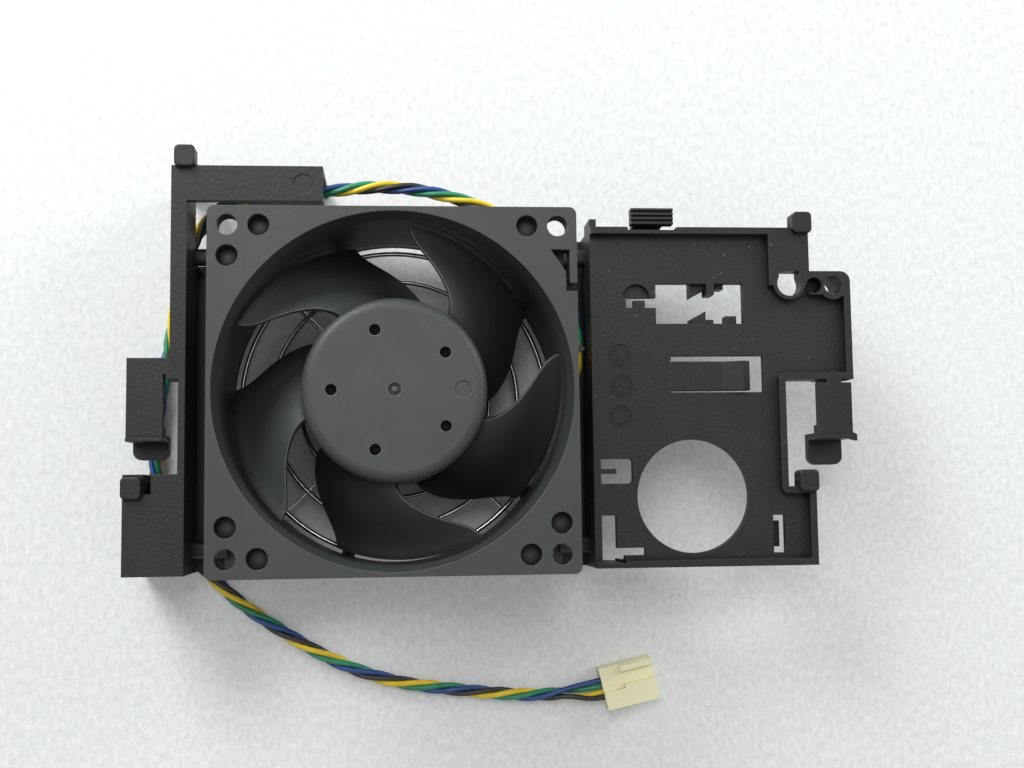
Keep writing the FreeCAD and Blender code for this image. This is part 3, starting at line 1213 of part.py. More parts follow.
def fan_side_wall():
    """Full-depth wall beside the fan, with gussets that taper up along the tray's rims."""
    top = RIM_Z + 0.5
    wall = box(TRAY_X, TRAY_X + WALL, TRAY_BOTTOM_Y, TRAY_TOP_Y, 0, top)
    foot_x, end_x = TRAY_X + GUSSET_FOOT, TRAY_X + GUSSET_L
    gussets = []
    for y in (TRAY_BOTTOM_Y, TRAY_TOP_Y - WALL):
        side = [V(TRAY_X, y, 0), V(foot_x, y, 0), V(end_x, y, RIM_Z), V(end_x, y, top), V(TRAY_X, y, top)]
        gussets.append(Part.Face(Part.makePolygon(side + side[:1])).extrude(V(0, WALL, 0)))
    return [wall] + gussets


def tray():
    """Tray beside the fan: sunk floor in shallow rims, with its openings."""
    body = tray_block(0, RIM_Z, DECK_TOP)
    body = body.cut([tray_block(WALL, RIM_Z - 1, FLOOR_UNDER), tray_recess()])
    ear = box(TRAY_X, TRAY_X + WALL, TRAY_TOP_Y - 1, TRAY_TOP_Y + EAR_H, DECK_TOP - EAR_DROP, FLOOR_TOP)
    grip_x0, grip_x1 = GRIP_X - GRIP_W / 2, GRIP_X + GRIP_W / 2
    panel = box(grip_x0 - GRIP_PANEL, grip_x1 + GRIP_PANEL, TRAY_TOP_Y - WALL, TRAY_TOP_Y,
                GRIP_ROOT_Z - GRIP_LEAF_T, RIM_Z + 0.5)
    body = joined([body, ear, panel] + fan_side_wall() + tray_underside())
    notch = box(grip_x0 - LATCH_GAP, grip_x1 + LATCH_GAP, TRAY_TOP_Y - GRIP_NOTCH, TRAY_TOP_Y + 1,
                FLOOR_TOP - GRIP_NOTCH * 2, DECK_TOP + 1)
    body = body.cut(tray_holes() + [notch])
    return joined([body] + key_window_ribs())


def latch_sockets():
    """Hollows in the carrier that the latches' flexing roots turn in."""
    r = KNUCKLE_R + FIT
    left = rod(r, ROOT_Z - ROOT_CLEAR, DECK_TOP + 1, L_HINGE_X, L_HINGE_Y)
    right = rod(r, ROOT_Z - ROOT_CLEAR, DECK_TOP + 1, R_HINGE_X, R_HINGE_Y)
    grip_at = V(GRIP_X - GRIP_W / 2, grip_pivot_y(), GRIP_ROOT_Z)
    grip = Part.makeCylinder(GRIP_LEAF_T / 2 + FIT, GRIP_W, grip_at, V(1, 0, 0))
    finger = Part.makeCylinder(SKIN / 2 + FIT, FINGER_W + 2 * LATCH_SIDE, V(FINGER_X0, FINGER_Y - LATCH_SIDE,
                               FINGER_PIVOT_Z), V(0, 1, 0))
    return [left, right, grip, finger]


def socket_stock():
    """Carrier material round the latches' roots."""
    reach = KNUCKLE_R + SOCKET_WALL
    low = ROOT_Z - ROOT_CLEAR
    left = box(L_HINGE_X, RAIL_X + 0.5, L_HINGE_Y - reach, L_HINGE_Y + reach, low, DECK_TOP)
    right = box(R_HINGE_X - reach, R_HINGE_X + reach, R_HINGE_Y, R_HINGE_Y + reach, low, FLOOR_TOP)
    trough = GRIP_LEAF_T / 2 + SOCKET_WALL
    half = GRIP_LEAF_W / 2
    grip = box(GRIP_X - half, GRIP_X + half, TRAY_TOP_Y - 0.5, grip_pivot_y() + trough,
               GRIP_ROOT_Z - trough, GRIP_ROOT_Z)
    return [left, right, grip]


def grip_pivot_y():
    """Line that the ribbed latch bends about."""
    return TRAY_TOP_Y + GRIP_CLEAR + GRIP_LEAF_T / 2


def carrier_bracket():
    """The carrier as one moulding."""
    pieces = [seat_plate()] + left_side() + [tray()] + fan_hooks()
    pieces += [post(x, y) for x, y in POSTS] + socket_stock()
    body = pieces[0].fuse(pieces[1:])
    arm_y = (ARM_IN_Y + RAIL_TOP_Y) / 2
    mark = rod(MARK_R, DECK_TOP - MARK_DEPTH, DECK_TOP + 1, ARM_END_X - MARK_FROM_END, arm_y)
    body = body.cut(latch_sockets() + [mark])
    return body.removeSplitter()


# ================================================================ latches
def foot(x0, y_end, y_wall):
    """Rounded foot that the latch puts into its slot."""
    tongue = box(x0, x0 + LATCH_W, y_end, y_wall + 1.0, FOOT_Z - FOOT_T, FOOT_Z)
    round_edges = [e for e in upright_edges(tongue, FOOT_Z - FOOT_T, FOOT_Z)
                   if e.CenterOfMass.y < y_end + 0.1]
    return tongue.makeFillet(FOOT_ROUND, round_edges)


def latch_body(x0, y_top, y_end, foot_end, outer_left):
    """Plate, outer wall, end wall, lip and foot shared by both side latches."""
    x1 = x0 + LATCH_W
    low = FOOT_Z - FOOT_T
    plate = box(x0, x1, y_end, y_top, LATCH_Z, DECK_TOP)
    wall_x = x0 if outer_left else x1 - LATCH_WALL
    wall = box(wall_x, wall_x + LATCH_WALL, y_end, y_top, low, DECK_TOP)
    end = box(x0, x1, y_end, y_end + LATCH_WALL, low, DECK_TOP)
    lip = box(x0, x1, y_end, y_end + LIP_T, DECK_TOP - LIP_UP, DECK_TOP + LIP_UP)
    brace = box(x0, x1, y_end + LATCH_WALL / 2, y_end + LATCH_WALL / 2 + BRACE_W, LATCH_Z - LATCH_T, LATCH_Z)
    return [plate, wall, end, lip, brace, foot(x0, foot_end, y_end)]


def left_latch():
    """Squeeze latch on the rail."""
    parts = latch_body(L_LATCH_X, L_LATCH_TOP_Y, L_LATCH_END_Y, L_FOOT_END_Y, True)
    knuckle = rod(KNUCKLE_R, ROOT_Z, DECK_TOP, L_HINGE_X, L_HINGE_Y)
    neck = box(L_LATCH_RIGHT - L_NECK_L, L_HINGE_X, L_HINGE_Y - KNUCKLE_R, L_HINGE_Y + KNUCKLE_R,
               ROOT_Z, DECK_TOP)
    barb = prism([(L_LATCH_RIGHT - BARB, L_LATCH_END_Y), (L_LATCH_RIGHT + BARB, L_LATCH_END_Y),
                  (L_LATCH_RIGHT - BARB, L_LATCH_END_Y + 2 * BARB)], LATCH_Z, DECK_TOP)
    return joined(parts + [knuckle, neck, barb])


def right_latch():
    """Squeeze latch on the tray."""
    top = GAP_TOP_Y - LATCH_GAP
    parts = latch_body(R_LATCH_X, top, R_LATCH_END_Y, R_FOOT_END_Y, False)
    knuckle = rod(KNUCKLE_R, ROOT_Z, DECK_TOP, R_HINGE_X, R_HINGE_Y)
    neck_half = KNUCKLE_R * R_NECK_HALF_SHARE
    neck = box(R_HINGE_X - neck_half, R_HINGE_X + neck_half,
               top - KNUCKLE_R * R_NECK_UP_SHARE, R_HINGE_Y - KNUCKLE_R * R_NECK_LOW_SHARE, ROOT_Z, DECK_TOP)
    x, y = R_LATCH_RIGHT, R_LATCH_END_Y
    barb = prism([(x - BARB, y), (x + BARB, y - BARB / 2), (x + BARB, y + BARB), (x - BARB, y + 2 * BARB)],
                 LATCH_Z, DECK_TOP)
    return joined(parts + [knuckle, neck, barb])


def grip_latch():
    """Release latch with a ribbed thumb grip."""
    x0, x1 = GRIP_X - GRIP_W / 2, GRIP_X + GRIP_W / 2
    leaf_x = x0 + GRIP_LEAF_IN
    leaf = box(leaf_x, leaf_x + GRIP_LEAF_W, GRIP_Y, GRIP_Y + GRIP_LEAF_T, GRIP_ROOT_Z,
               DECK_TOP - GRIP_HEAD_H / 2)
    root = Part.makeCylinder(GRIP_LEAF_T / 2, GRIP_LEAF_W, V(leaf_x, grip_pivot_y(), GRIP_ROOT_Z), V(1, 0, 0))
    low = DECK_TOP - GRIP_HEAD_H
    head_y = GRIP_Y - GRIP_HEAD_IN
    head = box(x0, x1, head_y, TRAY_TOP_Y + GRIP_HEAD_OUT, low, DECK_TOP)
    pitch = (TRAY_TOP_Y + GRIP_HEAD_OUT - head_y) / (GRIP_RIDGES + 0.5)
    grooves = []
    for k in range(GRIP_RIDGES):
        y = head_y + pitch * (k + GRIP_RIDGE_SHARE)
        groove_w = pitch * (1 - GRIP_RIDGE_SHARE)
        grooves.append(box(x0 - 1, x1 + 1, y, y + groove_w, DECK_TOP - GRIP_RIDGE_DEPTH, DECK_TOP + 1))
    hook_z = GRIP_ROOT_Z + GRIP_HOOK_UP
    out = GRIP_Y + GRIP_LEAF_T
    profile = [V(leaf_x, out, hook_z), V(leaf_x, out + GRIP_HOOK, hook_z),
               V(leaf_x, out, hook_z - GRIP_HOOK_H)]
    hook = Part.Face(Part.makePolygon(profile + profile[:1])).extrude(V(GRIP_LEAF_W, 0, 0))
    return joined([leaf, root, head, hook]).cut(grooves)


def snap_finger():
    """Sprung finger in the long window, with a hooked tip."""
    y0, y1 = FINGER_Y, FINGER_Y + FINGER_W
    tip = FINGER_X0 + FINGER_L
    bar = box(FINGER_X0, tip, y0, y1, FLOOR_TOP - SKIN, FLOOR_TOP)
    root = Part.makeCylinder(SKIN / 2, FINGER_W, V(FINGER_X0, y0, FINGER_PIVOT_Z), V(0, 1, 0))
    x = tip - FINGER_HOOK_L
    low = FLOOR_TOP - SKIN / 2
    profile = [V(x, y0, low), V(tip, y0, low), V(tip, y0, FLOOR_TOP + FINGER_HOOK_ROOT),
               V(tip - FINGER_HOOK_TIP, y0, FLOOR_TOP + FINGER_HOOK_H), V(x, y0, FLOOR_TOP)]
    hook = Part.Face(Part.makePolygon(profile + profile[:1])).extrude(V(0, FINGER_W, 0))
    return joined([bar, root, hook])


# ================================================================ lead and plug
def rounded_route(points):
    """Wire of straight runs joined by tangent arcs; also returns its arc radii."""
    spots = [V(*p) for p in points]
    edges, radii, start = [], [], spots[0]
    for before, here, after in zip(spots, spots[1:], spots[2:]):
        to_here, onward = here - before, after - here
        turn = to_here.getAngle(onward)
        cut_back = ROUTE_ARC_SHARE * min(to_here.Length, onward.Length)
        radius = cut_back / math.tan(turn / 2)
        a = here - to_here.normalize() * cut_back
        b = here + onward.normalize() * cut_back
        inward = ((a + b) * 0.5 - here).normalize()
        middle = here + inward * (radius / math.cos(turn / 2) - radius)
        edges.append(Part.LineSegment(start, a).toShape())
        edges.append(Part.Arc(a, middle, b).toShape())
        radii.append(radius)
        start = b
    edges.append(Part.LineSegment(start, spots[-1]).toShape())
    return Part.Wire(edges), radii


def lead(name, points):
    """Plain tube along a hand-laid route."""
    path, radii = rounded_route(points)
    way = V(*points[1]) - V(*points[0])
    circle = Part.Wire([Part.makeCircle(LEAD_D / 2, V(*points[0]), way)])
    tube = path.makePipeShell([circle], True, False)
    expected = math.pi * LEAD_D ** 2 / 4 * path.Length
    print(name, "length", round(path.Length, 1), "radii", [round(r, 1) for r in radii],
          "volume", round(tube.Volume, 1), "expected", round(expected, 1), "valid", tube.isValid())
    return tube


def plug_placed(shape):
    """Turn and move a shape from the plug's own frame to where it lies."""
    copy = shape.copy()
    copy.rotate(V(0, 0, 0), UP, PLUG_ANGLE)
    copy.translate(V(PLUG_X, PLUG_Y, 0))
    return copy


def plug_way(number):
    """Sideways place of one of the plug's ways."""
    return PLUG_PITCH * (number - (PLUG_WAYS - 1) / 2)


def plug_housing():
    """Four-way housing: a shallow wire mouth, four cavities, a rib and a stepped ledge."""
    half = PLUG_W / 2
    valley = PLUG_H - PLUG_RIB_H
    body = box(0, PLUG_L, -half, half, 0, valley)
    along = [e for e in body.Edges if abs(e.tangentAt(e.FirstParameter).x) > ALONG]
    body = body.makeFillet(PLUG_EDGE_ROUND, along)
    rib_y = half - PLUG_RIB_EDGE
    rib = box(PLUG_RIB_X, PLUG_L, rib_y - PLUG_RIB_W, rib_y, valley - 0.5, PLUG_H)
    ledge = box(0, PLUG_L, -half, -half + PLUG_LEDGE_W, 1, PLUG_H)
    step = box(PLUG_STEP_X, PLUG_L, -half, -half + PLUG_STEP_W, 1, PLUG_H)
    wire_z = LEAD_FREE[-1][2]
    mouth = box(-1, PLUG_MOUTH_DEPTH, -PLUG_MOUTH_W / 2, PLUG_MOUTH_W / 2, wire_z - PLUG_MOUTH_H / 2,
                wire_z + PLUG_MOUTH_H / 2)
    tools = [mouth]
    for number in range(PLUG_WAYS):
        y = plug_way(number)
        side = PLUG_CAVITY_W / 2
        tools.append(Part.makeCylinder(PLUG_WIRE_R, PLUG_CAVITY_X, V(0.5, y, wire_z), V(1, 0, 0)))
        tools.append(box(PLUG_CAVITY_X, PLUG_L + 1, y - side, y + side, PLUG_CAVITY_Z0, PLUG_CAVITY_Z1))
        x = PLUG_CAVITY_X + PLUG_WINDOW_L / 2
        tools.append(box(x, x + PLUG_WINDOW_L, y - side / 2, y + side / 2, -1, PLUG_CAVITY_Z0 + 1))
    return plug_placed(joined([body, rib, ledge, step]).cut(tools))


def plug_contacts():
    """Crimp contacts in the housing's cavities."""
    strips = []
    side = PLUG_CAVITY_W / 2 - CONTACT_FIT
    low, high = PLUG_CAVITY_Z0 + CONTACT_FIT, PLUG_CAVITY_Z1 - 2 * CONTACT_FIT
    for number in range(PLUG_WAYS):
        y = plug_way(number)
        sleeve = box(PLUG_CAVITY_X, PLUG_L - CONTACT_SHORT, y - side, y + side, low, high)
        bore_w = side * CONTACT_BORE_SHARE / 2
        hollow = box(CONTACT_BORE_X, PLUG_L, y - bore_w, y + bore_w, low + side / 2, high - side / 2)
        strips.append(plug_placed(sleeve.cut(hollow)))
    return Part.Compound(strips)


# ================================================================ assembly
def build():
    """Every node of the module, in the fan's frame."""
    chips, board_posts = board_parts()
    frame = joined([fan_frame()] + board_posts)
    nodes = {
        "fan_frame": frame, "impeller": impeller(), "rotor_yoke": rotor_yoke(), "ring_magnet": ring_magnet(),
        "shaft": shaft(), "shaft_boss": shaft_boss(), "bearing_tube": bearing_tube(),
        "preload_washer": preload_washer(), "retaining_clip": retaining_clip(),
        "stator_core": stator_core(), "stator_insulator": stator_insulator(),
        "stator_windings": stator_windings(), "circuit_board": circuit_board(), "board_parts": chips,
        "finger_guard": finger_guard(), "guard_screws": guard_screws(),
        "carrier_bracket": carrier_bracket(), "left_latch": left_latch(), "right_latch": right_latch(),
        "grip_latch": grip_latch(), "snap_finger": snap_finger(),
        "fan_lead": lead("fan_lead", LEAD_HELD), "free_lead": lead("free_lead", LEAD_FREE),
        "plug_housing": plug_housing(), "plug_contacts": plug_contacts(),
    }
    for name, z in (("front", FRONT_BEARING_Z), ("rear", REAR_BEARING_Z)):
        nodes[name + "_bearing_outer"] = outer_race(z)
        nodes[name + "_bearing_inner"] = inner_race(z)
        nodes[name + "_bearing_balls"] = balls(z)
    return nodes


CORD_NODES = ("free_lead", "plug_housing", "plug_contacts")


def footprint_shift(nodes):
    """Move from the fan's frame to the centre of the footprint, the free lead left out."""
    around = Part.Compound([s for n, s in nodes.items() if n not in CORD_NODES]).BoundBox
    return V(-(around.XMin + around.XMax) / 2, -(around.YMin + around.YMax) / 2, -around.ZMin)


def main():
    """Build, move to the footprint's centre and write one STEP for each node."""
    nodes = build()
    shift = footprint_shift(nodes)
    print("shift", [round(c, 3) for c in shift])
    for name, shape in nodes.items():
        if not shape.isValid() or shape.Volume <= 0:
            print("BAD", name, shape.isValid(), round(shape.Volume, 2))
        print(name, len(shape.Solids), round(shape.Volume, 1))
        moved = shape.copy()
        moved.translate(shift)
        moved.exportStep("parts/" + name + ".step")


main()
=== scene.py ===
"""Server fan module: finishes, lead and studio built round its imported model."""
import logging
import math
from dataclasses import dataclass, field
from enum import Enum

import bpy
from mathutils import Matrix, Vector


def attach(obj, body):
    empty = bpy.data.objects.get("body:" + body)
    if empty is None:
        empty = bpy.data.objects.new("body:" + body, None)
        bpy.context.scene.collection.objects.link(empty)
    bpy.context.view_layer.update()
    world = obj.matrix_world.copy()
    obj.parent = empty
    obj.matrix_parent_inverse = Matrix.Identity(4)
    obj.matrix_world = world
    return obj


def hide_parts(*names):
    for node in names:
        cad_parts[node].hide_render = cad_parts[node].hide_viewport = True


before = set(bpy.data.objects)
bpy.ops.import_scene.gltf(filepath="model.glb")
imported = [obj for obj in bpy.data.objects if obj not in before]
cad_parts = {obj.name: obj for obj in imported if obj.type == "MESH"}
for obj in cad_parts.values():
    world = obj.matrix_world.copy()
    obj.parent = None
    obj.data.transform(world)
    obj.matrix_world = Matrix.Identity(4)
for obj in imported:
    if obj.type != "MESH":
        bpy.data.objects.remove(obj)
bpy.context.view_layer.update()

LOG = logging.getLogger("fan_module")
MM = 0.001
ORIGIN_MM = Vector((-23.73, -8.921, 0.0))  # fan axis, seen from the footprint's centre
CENTRE = (0.0, 0.0, 0.0)   # middle of the floor, where the lamps point
SRGB_KNEE, SRGB_SLOPE, SRGB_LIFT, SRGB_POWER = 0.04045, 12.92, 0.055, 2.4  # the sRGB curve
WAVE_TURN = 20.0           # phase that a wave texture gains over one unit, in radians
EDGE_SAMPLES = 4           # rays that find a broken edge
SHADE_SAMPLES = 6          # rays that find how open a place is
Point = tuple[float, float, float]


def linear(hex_colour: str) -> tuple[float, float, float, float]:
    """Turn an sRGB hex colour into linear RGBA.

    Args:
        hex_colour: such as "#4a4e4a".

    Returns:
        Red, green, blue and alpha, in linear light.
    """
    parts = [int(hex_colour[i:i + 2], 16) / 255 for i in (1, 3, 5)]
    rgb = [p / SRGB_SLOPE if p <= SRGB_KNEE else ((p + SRGB_LIFT) / (1 + SRGB_LIFT)) ** SRGB_POWER
           for p in parts]
    return rgb[0], rgb[1], rgb[2], 1.0


def placed(point_mm: Point) -> Vector:
    """Point given from the fan's axis in millimetres, in the row frame in metres."""
    return (Vector(point_mm) + ORIGIN_MM) * MM


def per_mm(size_mm: float) -> float:
    """Noise scale that gives features of that size."""
    return 1.0 / (size_mm * MM)


def wave_mm(pitch_mm: float) -> float:
    """Wave texture scale that gives bands of that pitch."""
    return 2 * math.pi / (WAVE_TURN * pitch_mm * MM)


def add(tree: bpy.types.NodeTree, kind: str, values: dict | None = None,
        links: dict | None = None) -> bpy.types.Node:
    """Add a node, set it up and link its inputs.

    Args:
        tree: node tree of the material or world.
        kind: node type, such as "ShaderNodeBump".
        values: attribute names (str) or input sockets ("in:Name" or number) with their value.
        links: input socket names or numbers with the output that feeds each.

    Returns:
        The new node.
    """
    node = tree.nodes.new(kind)
    for key, value in (values or {}).items():
        if isinstance(key, int):
            node.inputs[key].default_value = value
        elif key.startswith("in:"):
            node.inputs[key[3:]].default_value = value
        else:
            setattr(node, key, value)
    for key, output in (links or {}).items():
        tree.links.new(output, node.inputs[key])
    return node


def ramp(tree: bpy.types.NodeTree, factor: bpy.types.NodeSocket, stops: list) -> bpy.types.Node:
    """Add a colour ramp.

    Args:
        tree: node tree of the material.
        factor: output that drives the ramp.
        stops: pairs of place and colour; a colour is hex text or a grey level.

    Returns:
        The ramp node.
    """
    node = add(tree, "ShaderNodeValToRGB", links={"Fac": factor})
    points = node.color_ramp.elements
    while len(points) < len(stops):
        points.new(0.5)
    for element, (place, colour) in zip(points, stops):
        element.position = place
        element.color = linear(colour) if isinstance(colour, str) else (colour, colour, colour, 1.0)
    return node


def new_material(name: str) -> tuple[bpy.types.Material, bpy.types.NodeTree, bpy.types.Node]:
    """Make an empty material with its principled shader.

    Args:
        name: the material's name.

    Returns:
        The material, its node tree and the shader node.
    """
    material = bpy.data.materials.new(name)
    material.use_nodes = True
    tree = material.node_tree
    return material, tree, tree.nodes["Principled BSDF"]


# ------------------------------------------------------------------ finishes
@dataclass(frozen=True)
class MouldedPlastic:
    """Injection-moulded plastic with a spark-eroded grain and softly broken edges."""
    name: str
    colour: str
    second: str            # tone of the flow marks
    edge_highlight: str              # painted highlight tone that a broken edge shows
    roughness: float = 0.5
    rough_spread: float = 0.12
    grain_mm: float = 0.55  # real grain is nearer 0.05 mm; drawn as coarse as shows
    grain_deep_mm: float = 0.02
    grain_detail: float = 2.0
    flow_mm: float = 16.0
    flow_detail: float = 4.0
    edge_mm: float = 0.28
    ior: float = 1.52
    specks: float = 0.0    # share of bright grains, from 0 to 1
    speck_mm: float = 0.6
    speck: str = "#8c908c"
    gloss: float = 0.5     # how strongly the skin mirrors; a grained skin traps part of its gloss
    clear: float = 0.0     # light scattered under the surface
    clear_mm: Point = (1.2, 0.9, 0.5)  # how far that light spreads, in red, green and blue
    painted_pit_shade_mm: float = 2.5    # recesses of about this size get painted shade: colour darkened and gloss dulled
    painted_shade_shut: float = 0.3  # share of open sky at which a recess is darkest
    painted_shade_open: float = 0.85  # share at which nothing is shaded
    painted_shade_tone: float = 0.05  # share of its colour that the darkest recess keeps
    flow_stops: tuple[float, float] = (0.3, 0.72)
    flow_rough: float = 0.6
    turned: tuple[float, float] = (0.99, 0.8)  # cosine of an edge's turn where the painted highlight starts and is full
    painted_highlight_most: float = 0.75
    speck_r: float = 0.32  # as a share of the space between specks
    grain_strength: float = 0.6

    def make(self) -> bpy.types.Material:
        """Build the material.

        Returns:
            The material, with the grain and flow marks of the real plastic, painted highlights on its broken
            edges and painted shade in its recesses.
        """
        material, tree, shader = new_material(self.name)
        where = add(tree, "ShaderNodeTexCoord").outputs["Object"]
        flow = add(tree, "ShaderNodeTexNoise", {"in:Scale": per_mm(self.flow_mm),
                                                "in:Detail": self.flow_detail,
                                                "in:Roughness": self.flow_rough}, {"Vector": where})
        tone = ramp(tree, flow.outputs["Fac"], list(zip(self.flow_stops, (self.colour, self.second))))
        grain = add(tree, "ShaderNodeTexNoise", {"in:Scale": per_mm(self.grain_mm),
                                                 "in:Detail": self.grain_detail}, {"Vector": where})
        rounded = add(tree, "ShaderNodeBevel", {"samples": EDGE_SAMPLES, "in:Radius": self.edge_mm * MM})
        flat = add(tree, "ShaderNodeNewGeometry")
        # Painted highlight: the edge tone is mixed in where the rounded normal turns away from the flat one.
        turn = add(tree, "ShaderNodeVectorMath", {"operation": "DOT_PRODUCT"},
                   {0: rounded.outputs["Normal"], 1: flat.outputs["Normal"]})
        painted_highlight_mask = add(tree, "ShaderNodeMapRange", {"in:From Min": self.turned[0], "in:From Max": self.turned[1],
                                                "in:To Min": 0.0, "in:To Max": self.painted_highlight_most},
                   {"Value": turn.outputs["Value"]})
        colour = add(tree, "ShaderNodeMix", {"data_type": "RGBA", 7: linear(self.edge_highlight)},
                     {0: painted_highlight_mask.outputs["Result"], 6: tone.outputs["Color"]}).outputs[2]
        if self.specks:
            bright = add(tree, "ShaderNodeTexVoronoi", {"in:Scale": per_mm(self.speck_mm)}, {"Vector": where})
            picked = add(tree, "ShaderNodeSeparateColor", links={0: bright.outputs["Color"]})
            chosen = add(tree, "ShaderNodeMath", {"operation": "LESS_THAN", 1: self.specks},
                         {0: picked.outputs[0]})
            near = add(tree, "ShaderNodeMath", {"operation": "LESS_THAN", 1: self.speck_r},
                       {0: bright.outputs["Distance"]})
            both = add(tree, "ShaderNodeMath", {"operation": "MULTIPLY"},
                       {0: chosen.outputs[0], 1: near.outputs[0]})
            colour = add(tree, "ShaderNodeMix", {"data_type": "RGBA", 7: linear(self.speck)},
                         {0: both.outputs[0], 6: colour}).outputs[2]
        rough = add(tree, "ShaderNodeMapRange", {"in:To Min": self.roughness - self.rough_spread,
                                                 "in:To Max": self.roughness + self.rough_spread},
                    {"Value": grain.outputs["Fac"]}).outputs["Result"]
        # Painted shade: colour darkened and roughness raised where the ambient-occlusion node finds little
        # open sky, in holes and corners.
        if self.painted_pit_shade_mm:
            open_here = add(tree, "ShaderNodeAmbientOcclusion", {"samples": SHADE_SAMPLES,
                                                                 "in:Distance": self.painted_pit_shade_mm * MM})
            deep = add(tree, "ShaderNodeMapRange", {"in:From Min": self.painted_shade_shut,
                                                    "in:From Max": self.painted_shade_open,
                                                    "in:To Min": self.painted_shade_tone},
                       {"Value": open_here.outputs["AO"]})
            colour = add(tree, "ShaderNodeMix", {"data_type": "RGBA", "blend_type": "MULTIPLY", 0: 1.0},
                         {6: colour, 7: deep.outputs["Result"]}).outputs[2]
            rough = add(tree, "ShaderNodeMix", {"data_type": "FLOAT", 2: 1.0},
                        {0: deep.outputs["Result"], 3: rough}).outputs[0]
        bump = add(tree, "ShaderNodeBump", {"in:Strength": self.grain_strength,
                                            "in:Distance": self.grain_deep_mm * MM},
                   {"Height": grain.outputs["Fac"], "Normal": rounded.outputs["Normal"]})
        tree.links.new(colour, shader.inputs["Base Color"])
        tree.links.new(rough, shader.inputs["Roughness"])
        tree.links.new(bump.outputs["Normal"], shader.inputs["Normal"])
        shader.inputs["IOR"].default_value = self.ior
        shader.inputs["Specular IOR Level"].default_value = self.gloss
        if self.clear:
            shader.inputs["Subsurface Weight"].default_value = self.clear
            shader.inputs["Subsurface Radius"].default_value = [reach * MM for reach in self.clear_mm]
            shader.inputs["Subsurface Scale"].default_value = 1.0
        return material


class Lay(Enum):
    """Direction that the marks of a metal's making run in."""
    ROUND = "rings about the fan's axis"
    STACKED = "level bands"
    CLOUDED = "no direction"


@dataclass(frozen=True)
class Metal:
    """Bare or plated metal with the marks of how it was made."""
    name: str
    colour: str
    second: str
    roughness: float
    lay: Lay = Lay.CLOUDED
    mark_mm: float = 0.4
    mark_deep_mm: float = 0.006
    metallic: float = 1.0
    mark_strength: float = 0.5
    mark_stops: tuple[float, float] = (0.25, 0.7)
    wander: float = 0.6        # how far a tool's rings or bands stray from true
    wander_scale: float = 2.0
    wander_detail: float = 1.0
    cloud_detail: float = 3.0
    dull: float = 1.3          # share of the roughness in a mark, and on the crest beside it
    polished: float = 0.8

    def make(self) -> bpy.types.Material:
        """Build the material.

        Returns:
            The material, with rings, bands or clouds left by the metal's making.
        """
        material, tree, shader = new_material(self.name)
        where = add(tree, "ShaderNodeTexCoord").outputs["Object"]
        if self.lay is Lay.CLOUDED:
            marks = add(tree, "ShaderNodeTexNoise", {"in:Scale": per_mm(self.mark_mm),
                                                     "in:Detail": self.cloud_detail},
                        {"Vector": where}).outputs["Fac"]
        else:
            shift = Vector((-ORIGIN_MM.x, -ORIGIN_MM.y, 0)) * MM
            centred = add(tree, "ShaderNodeVectorMath", {"operation": "ADD", 1: shift}, {0: where})
            kind = "RINGS" if self.lay is Lay.ROUND else "BANDS"
            marks = add(tree, "ShaderNodeTexWave",
                        {"wave_type": kind, "bands_direction": "Z", "rings_direction": "Z",
                         "in:Scale": wave_mm(self.mark_mm), "in:Distortion": self.wander,
                         "in:Detail": self.wander_detail, "in:Detail Scale": self.wander_scale},
                        {"Vector": centred.outputs["Vector"]}).outputs["Fac"]
        tone = ramp(tree, marks, list(zip(self.mark_stops, (self.second, self.colour))))
        rough = add(tree, "ShaderNodeMapRange", {"in:To Min": self.roughness * self.dull,
                                                 "in:To Max": self.roughness * self.polished},
                    {"Value": marks})
        bump = add(tree, "ShaderNodeBump", {"in:Strength": self.mark_strength,
                                            "in:Distance": self.mark_deep_mm * MM}, {"Height": marks})
        tree.links.new(tone.outputs["Color"], shader.inputs["Base Color"])
        tree.links.new(rough.outputs["Result"], shader.inputs["Roughness"])
        tree.links.new(bump.outputs["Normal"], shader.inputs["Normal"])
        shader.inputs["Metallic"].default_value = self.metallic
        return material


@dataclass(frozen=True)
class CircuitLaminate:
    """Glass-epoxy board under solder resist, with the copper tracks just showing through."""
    name: str = "solder_resist_on_glass_epoxy"
    resist: str = "#1d5a34"
    track: str = "#2f7a48"
    track_mm: float = 1.1
    track_stops: tuple[float, float] = (0.08, 0.14)
    track_high_mm: float = 0.03
    track_strength: float = 0.4
    roughness: float = 0.3

    def make(self) -> bpy.types.Material:
        """Build the material.

        Returns:
            The material, with raised tracks under the resist.
        """
        material, tree, shader = new_material(self.name)
        where = add(tree, "ShaderNodeTexCoord").outputs["Object"]
        cells = add(tree, "ShaderNodeTexVoronoi", {"feature": "DISTANCE_TO_EDGE", "distance": "EUCLIDEAN",
                                                   "in:Scale": per_mm(self.track_mm * 2)}, {"Vector": where})
        tone = ramp(tree, cells.outputs["Distance"], list(zip(self.track_stops, (self.track, self.resist))))
        bump = add(tree, "ShaderNodeBump", {"in:Strength": self.track_strength,
                                            "in:Distance": self.track_high_mm * MM},
                   {"Height": tone.outputs["Color"]})
        tree.links.new(tone.outputs["Color"], shader.inputs["Base Color"])
        tree.links.new(bump.outputs["Normal"], shader.inputs["Normal"])
        shader.inputs["Roughness"].default_value = self.roughness
        return material


